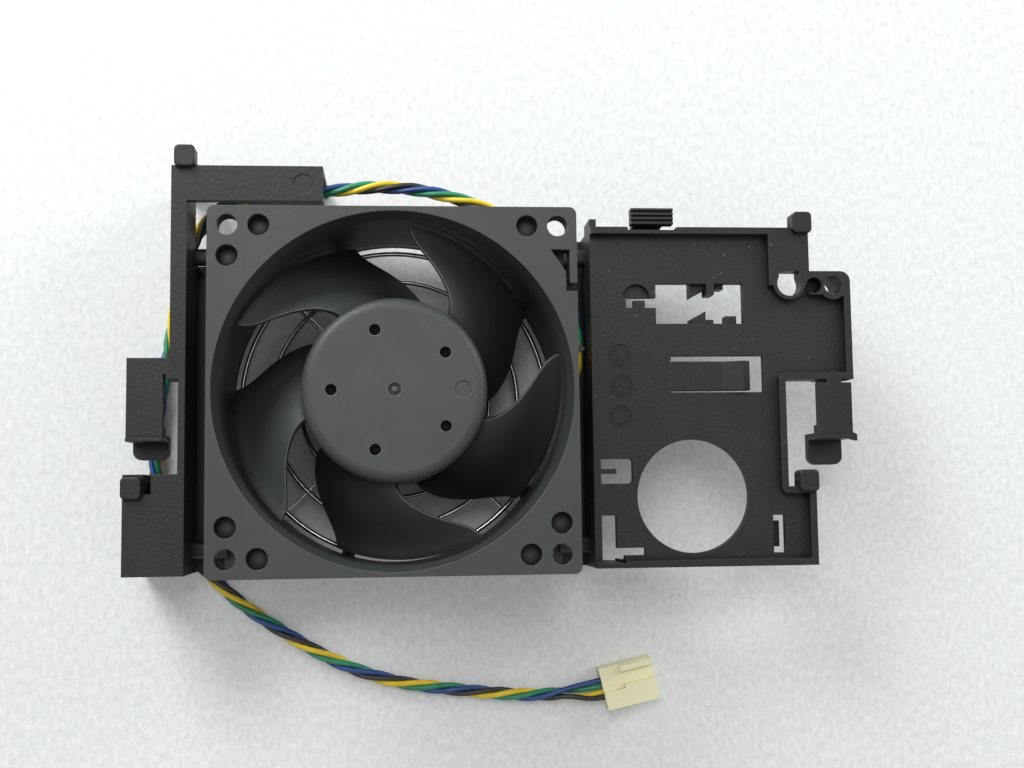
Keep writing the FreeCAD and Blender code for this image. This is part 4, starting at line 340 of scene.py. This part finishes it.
@dataclass(frozen=True)
class WireInsulation:
    """Soft extruded PVC round one wire."""
    name: str
    colour: str
    second: str
    roughness: float = 0.36
    cloud_mm: float = 2.5
    cloud_detail: float = 3.0
    cloud_stops: tuple[float, float] = (0.35, 0.7)
    grain_mm: float = 0.35  # the skin's real ripple is finer; drawn as coarse as shows
    grain_deep_mm: float = 0.01
    grain_detail: float = 1.0
    grain_strength: float = 0.3
    clear: float = 0.05
    clear_mm: float = 0.4

    def make(self) -> bpy.types.Material:
        """Build the material.

        Returns:
            The material, faintly clouded, with a little light under its skin.
        """
        material, tree, shader = new_material(self.name)
        where = add(tree, "ShaderNodeTexCoord").outputs["Object"]
        cloud = add(tree, "ShaderNodeTexNoise", {"in:Scale": per_mm(self.cloud_mm),
                                                 "in:Detail": self.cloud_detail}, {"Vector": where})
        tone = ramp(tree, cloud.outputs["Fac"], list(zip(self.cloud_stops, (self.colour, self.second))))
        fine = add(tree, "ShaderNodeTexNoise", {"in:Scale": per_mm(self.grain_mm),
                                                "in:Detail": self.grain_detail}, {"Vector": where})
        bump = add(tree, "ShaderNodeBump", {"in:Strength": self.grain_strength,
                                            "in:Distance": self.grain_deep_mm * MM},
                   {"Height": fine.outputs["Fac"]})
        tree.links.new(tone.outputs["Color"], shader.inputs["Base Color"])
        tree.links.new(bump.outputs["Normal"], shader.inputs["Normal"])
        shader.inputs["Roughness"].default_value = self.roughness
        shader.inputs["Subsurface Weight"].default_value = self.clear
        shader.inputs["Subsurface Radius"].default_value = [self.clear_mm * MM] * 3
        shader.inputs["Subsurface Scale"].default_value = 1.0
        return material


Finish = MouldedPlastic | Metal | CircuitLaminate | WireInsulation

# Each moulded plastic's third colour is a painted highlight on its broken edges; most of them also get
# painted shade in their recesses.
# Glass-filled polyester, injection-moulded: the glass makes it a dull grey-green with faint flow clouds.
HOUSING_GREY = MouldedPlastic("moulded_glass_filled_polyester_housing", "#30342f", "#373b36", "#5a5f59",
                              roughness=0.46, gloss=0.42, flow_mm=22.0)
# The same compound a shade lighter. Thin blade edges carry a painted highlight that draws a pale line, and
# the hub's small holes get painted shade that reads as black.
IMPELLER_GREY = MouldedPlastic("moulded_glass_filled_polyester_impeller", "#343833", "#3b3f3a", "#8d918b",
                               roughness=0.5, gloss=0.44, grain_mm=0.7, flow_mm=14.0, edge_mm=0.34,
                               painted_pit_shade_mm=3.0, painted_shade_shut=0.55, painted_shade_open=0.92, painted_shade_tone=0.02)
# Black ABS from a spark-eroded mould: matt and slightly pebbled, with a few scattered pale specks.
CARRIER_BLACK = MouldedPlastic("spark_eroded_abs_carrier", "#0e100f", "#191b1a", "#434644", roughness=0.46,
                               rough_spread=0.14, grain_mm=0.75, grain_deep_mm=0.14, gloss=0.36, specks=0.012,
                               speck_mm=0.9, speck="#454846", edge_mm=0.3)
# The sprung arms are the same black ABS, without the pale specks.
LATCH_BLACK = MouldedPlastic("spark_eroded_abs_latch", "#0f1110", "#161817", "#3e413f", roughness=0.44,
                             grain_mm=0.75, grain_deep_mm=0.12, gloss=0.36, edge_mm=0.3)
# Nylon bobbin: milky, with a little light under its skin.
BOBBIN_WHITE = MouldedPlastic("moulded_nylon_bobbin", "#dcdad0", "#e8e6dc", "#f4f3ec", roughness=0.38,
                              clear=0.1, painted_pit_shade_mm=0.0)
# Moulded epoxy of the chips: dry, almost chalky black.
CHIP_BLACK = MouldedPlastic("moulded_epoxy_chip", "#1b1c1c", "#242525", "#444646", roughness=0.55)
# Natural nylon of the plug: waxy ivory, a little clear, with a painted highlight on its edges.
PLUG_IVORY = MouldedPlastic("moulded_nylon_plug", "#f9f2c6", "#fdf7d0", "#fefae4", roughness=0.42,
                            rough_spread=0.06, grain_mm=1.0, grain_deep_mm=0.01, flow_mm=6.0, edge_mm=0.3,
                            clear=0.12, painted_pit_shade_mm=0.0)
# Bright nickel on drawn wire: sharp, thin highlights along each ring.
GUARD_PLATE = Metal("bright_nickel_plated_wire", "#d6d4cf", "#b4b2ad", 0.16, mark_mm=0.9)
# Zinc plate: softer and bluer than the nickel, slightly cloudy.
SCREW_PLATE = Metal("zinc_plated_screw_steel", "#c3c4c6", "#9fa1a4", 0.32, mark_mm=0.6)
# Deep-drawn steel: faint level rings from the drawing.
YOKE_STEEL = Metal("deep_drawn_yoke_steel", "#a4a6a8", "#86888b", 0.36, Lay.STACKED, 0.8)
# Ground races and balls: near-mirror. The grinding rings are finer than can be seen; drawn at 0.3 mm.
BEARING_STEEL = Metal("ground_bearing_steel", "#d2d2d4", "#bcbcc0", 0.14, Lay.ROUND, 0.3, 0.002)
# Spring temper: greyer, with a faint bloom.
SPRING_STEEL = Metal("spring_temper_steel", "#a8a9ae", "#8c8e94", 0.3, mark_mm=0.7)
# Ground shaft: bright. Its fine rings are drawn at 0.3 mm, as coarse as shows.
SHAFT_STEEL = Metal("ground_shaft_steel", "#cfd0d3", "#b9babd", 0.18, Lay.STACKED, 0.3, 0.002)
# Turned brass: yellow, with the tool's rings drawn at 0.35 mm, as coarse as shows.
TURNED_BRASS = Metal("turned_brass", "#d9b870", "#c09a50", 0.26, Lay.STACKED, 0.35, 0.004)
# Bonded ferrite: charcoal, dull, with a grain of powder.
MAGNET_FERRITE = Metal("bonded_ferrite_magnet", "#3a3a3d", "#2b2b2e", 0.6, mark_mm=0.6, metallic=0.2)
# Stamped sheets, stacked: dark lines between the sheets show from the side.
LAMINATION = Metal("stamped_silicon_steel_stack", "#8a8c90", "#4c4e52", 0.4, Lay.STACKED, 0.5, 0.05)
# Enamelled copper, wound: brown-red gloss, with turns drawn at 0.4 mm so that they show.
COPPER_WIRE = Metal("enamelled_copper_winding", "#c2683a", "#6e2e14", 0.3, Lay.ROUND, 0.4, 0.1)
# Tin plate: pale, warm and soft-edged.
CONTACT_TIN = Metal("tin_plated_phosphor_bronze", "#cfc6b4", "#b1a894", 0.28, mark_mm=0.6)
# Solder resist over glass epoxy: glossy green, tracks just lighter.
BOARD = CircuitLaminate()
# Extruded PVC: smooth, slightly waxy gloss, one colour a wire.
WIRE_BLUE = WireInsulation("extruded_pvc_blue", "#1e3f7a", "#2b4f8e")
WIRE_GREEN = WireInsulation("extruded_pvc_green", "#1f7a55", "#2c8d66")
WIRE_YELLOW = WireInsulation("extruded_pvc_yellow", "#e0bd1c", "#ecd03c")
WIRE_BLACK = WireInsulation("extruded_pvc_black", "#22201f", "#302c2a")


def meshed(name: str, points: list[Vector], faces: list[tuple[int, ...]],
           materials: list[bpy.types.Material], picks: list[int] | None = None) -> bpy.types.Object:
    """Make a mesh object.

    Args:
        name: piece name.
        points: vertices in the row frame, in metres.
        faces: vertex numbers of each face.
        materials: materials that the piece carries.
        picks: material number of each face.

    Returns:
        The new object, linked to the scene.
    """
    mesh = bpy.data.meshes.new(name)
    mesh.from_pydata([tuple(p) for p in points], [], faces)
    for material in materials:
        mesh.materials.append(material)
    if picks:
        mesh.polygons.foreach_set("material_index", picks)
    mesh.polygons.foreach_set("use_smooth", [True] * len(faces))
    mesh.update()
    piece = bpy.data.objects.new(name, mesh)
    bpy.context.scene.collection.objects.link(piece)
    return piece


# ------------------------------------------------------------------ solids from the model
@dataclass
class ModelFinishes:
    """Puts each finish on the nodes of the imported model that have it."""
    groups: dict[str, tuple[Finish, tuple[str, ...]]] = field(default_factory=lambda: {
        "housing": (HOUSING_GREY, ("fan_frame",)),
        "impeller": (IMPELLER_GREY, ("impeller",)),
        "carrier": (CARRIER_BLACK, ("carrier_bracket",)),
        "latches": (LATCH_BLACK, ("left_latch", "right_latch", "grip_latch", "snap_finger")),
        "guard": (GUARD_PLATE, ("finger_guard",)),
        "screws": (SCREW_PLATE, ("guard_screws",)),
        "yoke": (YOKE_STEEL, ("rotor_yoke",)),
        "magnet": (MAGNET_FERRITE, ("ring_magnet",)),
        "shaft": (SHAFT_STEEL, ("shaft",)),
        "brass": (TURNED_BRASS, ("shaft_boss", "bearing_tube")),
        "bearings": (BEARING_STEEL, ("front_bearing_outer", "front_bearing_inner", "front_bearing_balls",
                                     "rear_bearing_outer", "rear_bearing_inner", "rear_bearing_balls")),
        "springs": (SPRING_STEEL, ("preload_washer", "retaining_clip")),
        "stack": (LAMINATION, ("stator_core",)),
        "bobbin": (BOBBIN_WHITE, ("stator_insulator",)),
        "coils": (COPPER_WIRE, ("stator_windings",)),
        "board": (BOARD, ("circuit_board",)),
        "chips": (CHIP_BLACK, ("board_parts",)),
        "plug": (PLUG_IVORY, ("plug_housing",)),
        "contacts": (CONTACT_TIN, ("plug_contacts",)),
    })

    def dress(self) -> None:
        """Make each material once and assign it to its nodes."""
        for label, (finish, nodes) in self.groups.items():
            material = finish.make()
            for node in nodes:
                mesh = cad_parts[node].data
                mesh.materials.clear()
                mesh.materials.append(material)
            LOG.info("%s: %s on %s", label, material.name, ", ".join(nodes))


# ------------------------------------------------------------------ mould marks
# Centres of the dials on the tray floor, in millimetres from the fan's axis.
DIAL_PLACES = ((53.0, 9.95, 22.6), (53.4, 2.5, 22.6), (53.0, -4.6, 22.6))


@dataclass
class MouldDials:
    """Three bare dial marks that the mould's date inserts leave on the tray floor, sized in millimetres."""
    centres_mm: tuple[Point, ...] = DIAL_PLACES
    rim_r: float = 2.7
    rim_wide: float = 0.3
    tick_from: float = 1.45
    tick_to: float = 2.15
    tick_wide: float = 0.3
    ticks: int = 12
    hand_long: float = 0.95
    hand_wide: float = 0.42
    hand_first: float = 65.0   # where each dial's hand points, in degrees
    hand_step: float = 80.0
    proud: float = 0.16
    sunk: float = 0.05
    around: int = 36

    def bar(self, centre: Vector, angle: float, start: float, end: float, wide: float) -> tuple[list, list]:
        """One raised bar that points away from a dial's centre.

        Args:
            centre: the dial's centre, in millimetres.
            angle: which way the bar points, in radians.
            start: where it starts, from the centre.
            end: where it ends.
            wide: its width.

        Returns:
            Vertices in millimetres and faces.
        """
        out = Vector((math.cos(angle), math.sin(angle), 0))
        side = Vector((-out.y, out.x, 0))
        corners = [out * r + side * w for r, w in ((start, -wide / 2), (end, -wide / 2), (end, wide / 2),
                                                   (start, wide / 2))]
        points = [centre + c + Vector((0, 0, z)) for z in (-self.sunk, self.proud) for c in corners]
        sides = [(i, (i + 1) % 4, (i + 1) % 4 + 4, i + 4) for i in range(4)]
        return points, [(3, 2, 1, 0), (4, 5, 6, 7)] + sides

    def rim(self, centre: Vector) -> tuple[list, list]:
        """Raised ring round a dial.

        Args:
            centre: the dial's centre, in millimetres.

        Returns:
            Vertices in millimetres and faces.
        """
        points, faces, n = [], [], self.around
        inner_r = self.rim_r - self.rim_wide
        profile = ((self.rim_r, -self.sunk), (self.rim_r, self.proud), (inner_r, self.proud),
                   (inner_r, -self.sunk))
        for k in range(n):
            angle = 2 * math.pi * k / n
            points += [centre + Vector((r * math.cos(angle), r * math.sin(angle), z)) for r, z in profile]
        for k in range(n):
            a, b = 4 * k, 4 * ((k + 1) % n)
            faces += [(a + j, b + j, b + (j + 1) % 4, a + (j + 1) % 4) for j in range(4)]
        return points, faces

    def build(self) -> None:
        """Make the three dials as one piece on the carrier."""
        points, faces = [], []
        for number, place in enumerate(self.centres_mm):
            centre = Vector(place)
            parts = [self.rim(centre)]
            for k in range(self.ticks):
                parts.append(self.bar(centre, 2 * math.pi * k / self.ticks, self.tick_from, self.tick_to,
                                      self.tick_wide))
            parts.append(self.bar(centre, math.radians(self.hand_first + self.hand_step * number),
                                  -self.hand_long, self.hand_long, self.hand_wide))
            for more, around in parts:
                faces += [tuple(i + len(points) for i in face) for face in around]
                points += [placed(p) for p in more]
        piece = meshed("mould_dials", points, faces, [CARRIER_BLACK.make()])
        piece.data.polygons.foreach_set("use_smooth", [False] * len(faces))
        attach(piece, "housing")
        LOG.info("mould dials: %d", len(self.centres_mm))


# ------------------------------------------------------------------ lead
# Route of the stretch that the carrier holds, in millimetres from the fan's axis.
HELD_ROUTE = (
    (36.4, -19.4, 9.6), (40.6, -13.0, 10.8), (42.2, -4.5, 12.8), (43.2, 5.2, 13.6),
    (44.1, 14.9, 14.6), (41.9, 24.7, 15.6), (37.9, 33.4, 16.4), (32.2, 40.6, 16.4),
    (24.8, 45.2, 16.0), (15.7, 48.7, 15.3), (6.0, 51.0, 15.0), (-3.9, 51.7, 15.0),
    (-13.7, 50.6, 15.0), (-23.4, 49.8, 14.6), (-33.1, 49.5, 13.8), (-41.8, 47.3, 11.6),
    (-47.9, 41.0, 7.6), (-51.9, 33.0, 4.0), (-53.5, 23.7, 2.6), (-54.9, 13.9, 2.3),
    (-56.5, 4.0, 2.2), (-57.8, -5.8, 2.2), (-58.2, -15.6, 2.2), (-56.3, -25.2, 2.1),
    (-52.0, -33.4, 2.0), (-46.2, -39.5, 1.9),
)
# Route of the free stretch, from the carrier's corner to the plug.
FREE_ROUTE = (
    (-46.2, -39.5, 1.9), (-40.4, -45.6, 1.8), (-33.4, -51.0, 1.75), (-25.4, -56.2, 1.75),
    (-17.0, -61.2, 1.75), (-7.8, -65.3, 1.75), (2.2, -68.1, 1.75), (12.6, -69.5, 1.75),
    (23.0, -70.8, 1.75), (33.2, -71.6, 1.8), (42.2, -71.2, 2.3), (50.2, -70.3, 2.9),
)


@dataclass
class Lead:
    """Four insulated wires laid up in a left-handed twist, from the fan's rear flange to the plug."""
    diameter_mm: float = 3.2
    pitch_mm: float = 23.4     # length of one turn of the twist
    around: int = 12           # sides of a wire's tube
    plug_degrees: float = 12.3  # which way the plug points
    entry_pitch_mm: float = 1.4  # between two wires where they enter the plug
    splay_mm: float = 11.0     # stretch over which the wires part
    entry_mm: float = 0.6      # how far the wires go on into the plug
    free_length: float = 0.1053  # of the free stretch, in metres
    order: tuple[WireInsulation, ...] = (WIRE_BLUE, WIRE_GREEN, WIRE_YELLOW, WIRE_BLACK)
    line_order: int = 3        # quadratic, so that the curve stays close to the route
    line_steps: int = 14
    least_step: float = 1e-7   # nearer points than this are one
    up_hint: Point = (0.13, 0.21, 1.0)  # any direction that no wire runs in
    splay_steps: int = 24
    splay_pull: float = 0.42   # reach of the splay's curve, as a share of its span
    splay_end: float = 1.1     # how much further it reaches at the plug

    @property
    def wire_r(self) -> float:
        """Radius of one wire, in metres, so that four just fill the bundle."""
        return self.diameter_mm * MM / 2 / (1 + math.sqrt(2))

    def line(self, name: str, route: tuple[Point, ...]) -> list[Vector]:
        """Points of the smooth curve that a given route guides.

        Args:
            name: name of the helper curve.
            route: control points in millimetres from the fan's axis.

        Returns:
            Points in the row frame, in metres.
        """
        curve = bpy.data.curves.new(name, "CURVE")
        curve.dimensions = "3D"
        spline = curve.splines.new("NURBS")
        spline.points.add(len(route) - 1)
        for point, place in zip(spline.points, route):
            point.co = (*placed(place), 1.0)
        spline.order_u = self.line_order
        spline.use_endpoint_u = True
        spline.resolution_u = self.line_steps
        helper = bpy.data.objects.new(name, curve)
        bpy.context.scene.collection.objects.link(helper)
        bpy.context.view_layer.update()
        mesh = bpy.data.meshes.new_from_object(helper.evaluated_get(bpy.context.evaluated_depsgraph_get()))
        points = [v.co.copy() for v in mesh.vertices]
        bpy.data.objects.remove(helper)
        bpy.data.meshes.remove(mesh)
        return [p for i, p in enumerate(points) if i == 0 or (p - points[i - 1]).length > self.least_step]

    def frames(self, line: list[Vector], side: Vector) -> tuple[list, Vector]:
        """Untwisted frames along a line.

        Args:
            line: points of the line.
            side: direction that the first frame's side leans to.

        Returns:
            Place, tangent, side and length so far at each point, and the last side.
        """
        out, run = [], 0.0
        for i, place in enumerate(line):
            ahead = line[min(i + 1, len(line) - 1)] - line[max(i - 1, 0)]
            tangent = ahead.normalized()
            side = (side - tangent * side.dot(tangent)).normalized()
            if i:
                run += (place - line[i - 1]).length
            out.append((place, tangent, side, run))
        return out, side

    def wire_at(self, frame_here: tuple, phase: float, number: int) -> Vector:
        """Centre of one wire in the twisted bundle.

        Args:
            frame_here: place, tangent, side and length at this point.
            phase: twist at the start of the line, in radians.
            number: which of the four wires.

        Returns:
            The wire's centre.
        """
        place, tangent, side, run = frame_here
        angle = phase - 2 * math.pi * run / (self.pitch_mm * MM) - 2 * math.pi * number / len(self.order)
        up = tangent.cross(side)
        return place + (side * math.cos(angle) + up * math.sin(angle)) * self.wire_r * math.sqrt(2)

    def tube(self, centres: list[Vector]) -> tuple[list[Vector], list[tuple[int, ...]]]:
        """Round tube with closed ends along a wire's centres.

        Args:
            centres: points that the wire follows.

        Returns:
            Vertices and faces.
        """
        found, _ = self.frames(centres, Vector(self.up_hint))
        points, faces, n = [], [], self.around
        for place, tangent, side, _ in found:
            up = tangent.cross(side)
            for k in range(n):
                angle = 2 * math.pi * k / n
                points.append(place + (side * math.cos(angle) + up * math.sin(angle)) * self.wire_r)
        for i in range(len(found) - 1):
            for k in range(n):
                a, b = i * n + k, i * n + (k + 1) % n
                faces.append((a, b, b + n, a + n))
        last = (len(found) - 1) * n
        faces.append(tuple(reversed(range(n))))
        faces.append(tuple(range(last, last + n)))
        return points, faces

    def bundled(self, name: str, wires: list[list[Vector]], materials: list) -> bpy.types.Object:
        """One piece from four wires, each in its own colour.

        Args:
            name: name of the piece.
            wires: the centres of each wire.
            materials: material of each wire.

        Returns:
            The piece.
        """
        points, faces, picks = [], [], []
        for number, centres in enumerate(wires):
            more, around = self.tube(centres)
            faces += [tuple(i + len(points) for i in face) for face in around]
            picks += [number] * len(around)
            points += more
        return meshed(name, points, faces, materials, picks)

    def splay(self, end: tuple, starts: list[Vector], tangents: list[Vector]) -> list[list[Vector]]:
        """Wires that part from the bundle and run into the plug side by side.

        Args:
            end: last frame of the free line.
            starts: where each wire leaves the bundle.
            tangents: which way each wire runs there.

        Returns:
            Points of each wire.
        """
        turn = math.radians(self.plug_degrees)
        along = Vector((math.cos(turn), math.sin(turn), 0))
        across = Vector((-along.y, along.x, 0))
        wires = []
        middle = (len(self.order) - 1) / 2
        shares = [i / self.splay_steps for i in range(self.splay_steps + 1)]
        for number, (start, way) in enumerate(zip(starts, tangents)):
            place = (middle - number) * self.entry_pitch_mm * MM
            goal = end[0] + across * place + along * self.entry_mm * MM
            pull = (goal - start).length * self.splay_pull
            a, b, c, d = start, start + way * pull, goal - along * pull * self.splay_end, goal
            wires.append([a * (1 - t) ** 3 + b * 3 * t * (1 - t) ** 2 + c * 3 * t * t * (1 - t) + d * t ** 3
                          for t in shares])
        return wires

    def build(self) -> None:
        """Make the held lead, the free lead and the wires' splayed ends."""
        materials = [finish.make() for finish in self.order]
        held, side = self.frames(self.line("held_line", HELD_ROUTE), Vector((0, 0, 1)))
        wires = [[self.wire_at(f, 0.0, n) for f in held] for n in range(len(self.order))]
        held_piece = self.bundled("fan_lead_wires", wires, materials)
        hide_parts("fan_lead")
        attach(held_piece, "housing")
        phase = -2 * math.pi * held[-1][3] / (self.pitch_mm * MM)
        free_line = self.line("free_line", FREE_ROUTE)
        free, _ = self.frames(free_line, side)
        stop = free[-1][3] - self.splay_mm * MM
        kept = [f for f in free if f[3] <= stop]
        wires = [[self.wire_at(f, phase, n) for f in kept] for n in range(len(self.order))]
        starts = [w[-1] for w in wires]
        tangents = [(w[-1] - w[-2]).normalized() for w in wires]
        ends = self.splay(free[-1], starts, tangents)
        wires = [wire + end[1:] for wire, end in zip(wires, ends)]
        free_piece = self.bundled("free_lead_wires", wires, materials)
        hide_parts("free_lead")
        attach(free_piece, "housing")
        LOG.info("lead: held %.1f mm, free %.1f mm", held[-1][3] / MM, free[-1][3] / MM)


# ------------------------------------------------------------------ studio
@dataclass(frozen=True)
class Lamp:
    """Soft square lamp that points at the middle of the floor."""
    name: str
    place: Point               # in metres
    size: float                # side, in metres
    watts: float
    colour: str

    def hang(self) -> None:
        """Add the lamp to the scene."""
        data = bpy.data.lights.new(self.name, "AREA")
        data.shape = "SQUARE"
        data.size = self.size
        data.energy = self.watts
        data.color = linear(self.colour)[:3]
        lamp = bpy.data.objects.new(self.name, data)
        lamp.location = self.place
        lamp.rotation_mode = "QUATERNION"
        lamp.rotation_quaternion = (Vector(CENTRE) - Vector(self.place)).to_track_quat("-Z", "Y")
        bpy.context.scene.collection.objects.link(lamp)


@dataclass
class Studio:
    """Pale floor, soft light from above and the camera over the module."""
    lamps: tuple[Lamp, ...] = (
        Lamp("window", (-0.50, 0.71, 0.45), 0.45, 9.0, "#fbfdff"),
        Lamp("second_window", (0.80, 0.46, 0.42), 0.45, 4.0, "#fbfdff"),
        Lamp("ceiling", (-0.17, 0.45, 1.2), 0.6, 4.6, "#ffffff"),
    )
    floor_size: float = 4.0      # in metres
    floor_drop_mm: float = 0.05  # just below the lowest wall, so that the two don't share a plane
    floor_grain_mm: float = 1.2
    floor_draw: Point = (1.0, 0.6, 1.0)  # the sheet's grain is drawn out along its roll
    floor_grain_detail: float = 4.0
    floor_grain_rough: float = 0.7
    floor_stops: tuple[float, float] = (0.3, 0.7)
    floor_high_mm: float = 0.12
    floor_strength: float = 0.5
    floor_rough: float = 0.6
    floor_colour: str = "#e4e5e5"
    floor_second: str = "#cccecd"
    floor_glow: float = 0.16     # pale background's own brightness, seen but not lighting the module
    glow_reach_mm: float = 42.0  # what stands nearer than this dims it, which paints shade on the floor under and beside the module
    glow_shut: float = 0.09      # share of open sky at which it is gone, and at which it is full
    glow_open: float = 0.3
    room_light: float = 0.4      # strength of the surroundings as light, and as a background
    room_white: float = 0.8
    room_colour: str = "#f4f5f5"
    camera_mm: Point = (0.8, -24.7, 324.1)
    roll: float = -0.76          # the camera's turns, in degrees
    pan: float = -4.95
    tilt: float = 5.3
    lens: float = 45.7           # its lens and sensor, in millimetres
    sensor: float = 36.0
    clip: tuple[float, float] = (0.01, 20.0)

    def seen(self, tree: bpy.types.NodeTree) -> bpy.types.NodeSocket:
        """Output that is 1 where the camera, gloss or clear parts see a surface, and 0 for its light.

        Args:
            tree: node tree of the floor's material or of the world.

        Returns:
            The output socket.
        """
        path = add(tree, "ShaderNodeLightPath")
        direct = add(tree, "ShaderNodeMath", {"operation": "MAXIMUM"},
                     {0: path.outputs["Is Camera Ray"], 1: path.outputs["Is Transmission Ray"]})
        return add(tree, "ShaderNodeMath", {"operation": "MAXIMUM"},
                   {0: direct.outputs[0], 1: path.outputs["Is Glossy Ray"]}).outputs[0]

    def floor(self) -> None:
        """Plain pale sheet under the module."""
        half = self.floor_size / 2
        corners = [Vector((x * half, y * half, 0)) for x, y in ((-1, -1), (1, -1), (1, 1), (-1, 1))]
        piece = meshed("floor", corners, [(0, 1, 2, 3)], [])
        piece.location.z = -self.floor_drop_mm * MM
        # Matt foam sheet: pale and dull, with a soft crinkled grain a millimetre or so wide.
        material, tree, shader = new_material("matt_foam_sheet")
        where = add(tree, "ShaderNodeTexCoord").outputs["Object"]
        drawn = add(tree, "ShaderNodeMapping", {"in:Scale": self.floor_draw}, {"Vector": where})
        cells = add(tree, "ShaderNodeTexNoise", {"in:Scale": per_mm(self.floor_grain_mm),
                                                 "in:Detail": self.floor_grain_detail,
                                                 "in:Roughness": self.floor_grain_rough},
                    {"Vector": drawn.outputs["Vector"]})
        tone = ramp(tree, cells.outputs["Fac"],
                    list(zip(self.floor_stops, (self.floor_second, self.floor_colour))))
        bump = add(tree, "ShaderNodeBump", {"in:Strength": self.floor_strength,
                                            "in:Distance": self.floor_high_mm * MM},
                   {"Height": cells.outputs["Fac"]})
        # Painted shade: the glow fades where the ambient-occlusion node finds things close by, so the floor
        # darkens under and beside the module.
        open_sky = add(tree, "ShaderNodeAmbientOcclusion", {"samples": SHADE_SAMPLES,
                                                            "in:Distance": self.glow_reach_mm * MM})
        shown = add(tree, "ShaderNodeMapRange", {"in:From Min": self.glow_shut,
                                                 "in:From Max": self.glow_open,
                                                 "in:To Max": self.floor_glow},
                    {"Value": open_sky.outputs["AO"]})
        glow = add(tree, "ShaderNodeMath", {"operation": "MULTIPLY"},
                   {0: shown.outputs["Result"], 1: self.seen(tree)})
        tree.links.new(tone.outputs["Color"], shader.inputs["Emission Color"])
        tree.links.new(glow.outputs[0], shader.inputs["Emission Strength"])
        tree.links.new(tone.outputs["Color"], shader.inputs["Base Color"])
        tree.links.new(bump.outputs["Normal"], shader.inputs["Normal"])
        shader.inputs["Roughness"].default_value = self.floor_rough
        piece.data.materials.append(material)

    def world(self) -> None:
        """Even white surroundings."""
        world = bpy.data.worlds.new("soft_room")
        world.use_nodes = True
        tree = world.node_tree
        tree.nodes.clear()
        level = add(tree, "ShaderNodeMapRange", {"in:To Min": self.room_light, "in:To Max": self.room_white},
                    {"Value": self.seen(tree)})
        back = add(tree, "ShaderNodeBackground", {"in:Color": linear(self.room_colour)},
                   {"Strength": level.outputs["Result"]})
        add(tree, "ShaderNodeOutputWorld", links={"Surface": back.outputs[0]})
        bpy.context.scene.world = world

    def camera(self) -> None:
        """Camera almost straight above, leaning a little."""
        data = bpy.data.cameras.new("over_module")
        data.lens = self.lens
        data.sensor_width = self.sensor
        data.clip_start, data.clip_end = self.clip
        camera = bpy.data.objects.new("over_module", data)
        turn = (Matrix.Rotation(math.radians(self.roll), 4, "Z")
                @ Matrix.Rotation(math.radians(self.pan), 4, "Y")
                @ Matrix.Rotation(math.radians(self.tilt), 4, "X"))
        camera.matrix_world = Matrix.Translation(placed(self.camera_mm)) @ turn
        bpy.context.scene.collection.objects.link(camera)
        bpy.context.scene.camera = camera

    def build(self) -> None:
        """Set the stage."""
        self.camera()
        self.floor()
        self.world()
        for lamp in self.lamps:
            lamp.hang()
        bpy.context.scene.view_settings.view_transform = "Standard"
        LOG.info("studio: camera, floor, world and lamps")


def main() -> None:
    """Build every class in order."""
    logging.basicConfig(level=logging.INFO, format="%(message)s")
    Studio().build()
    Lead().build()
    ModelFinishes().dress()
    MouldDials().build()


if __name__ == "__main__":
    main()
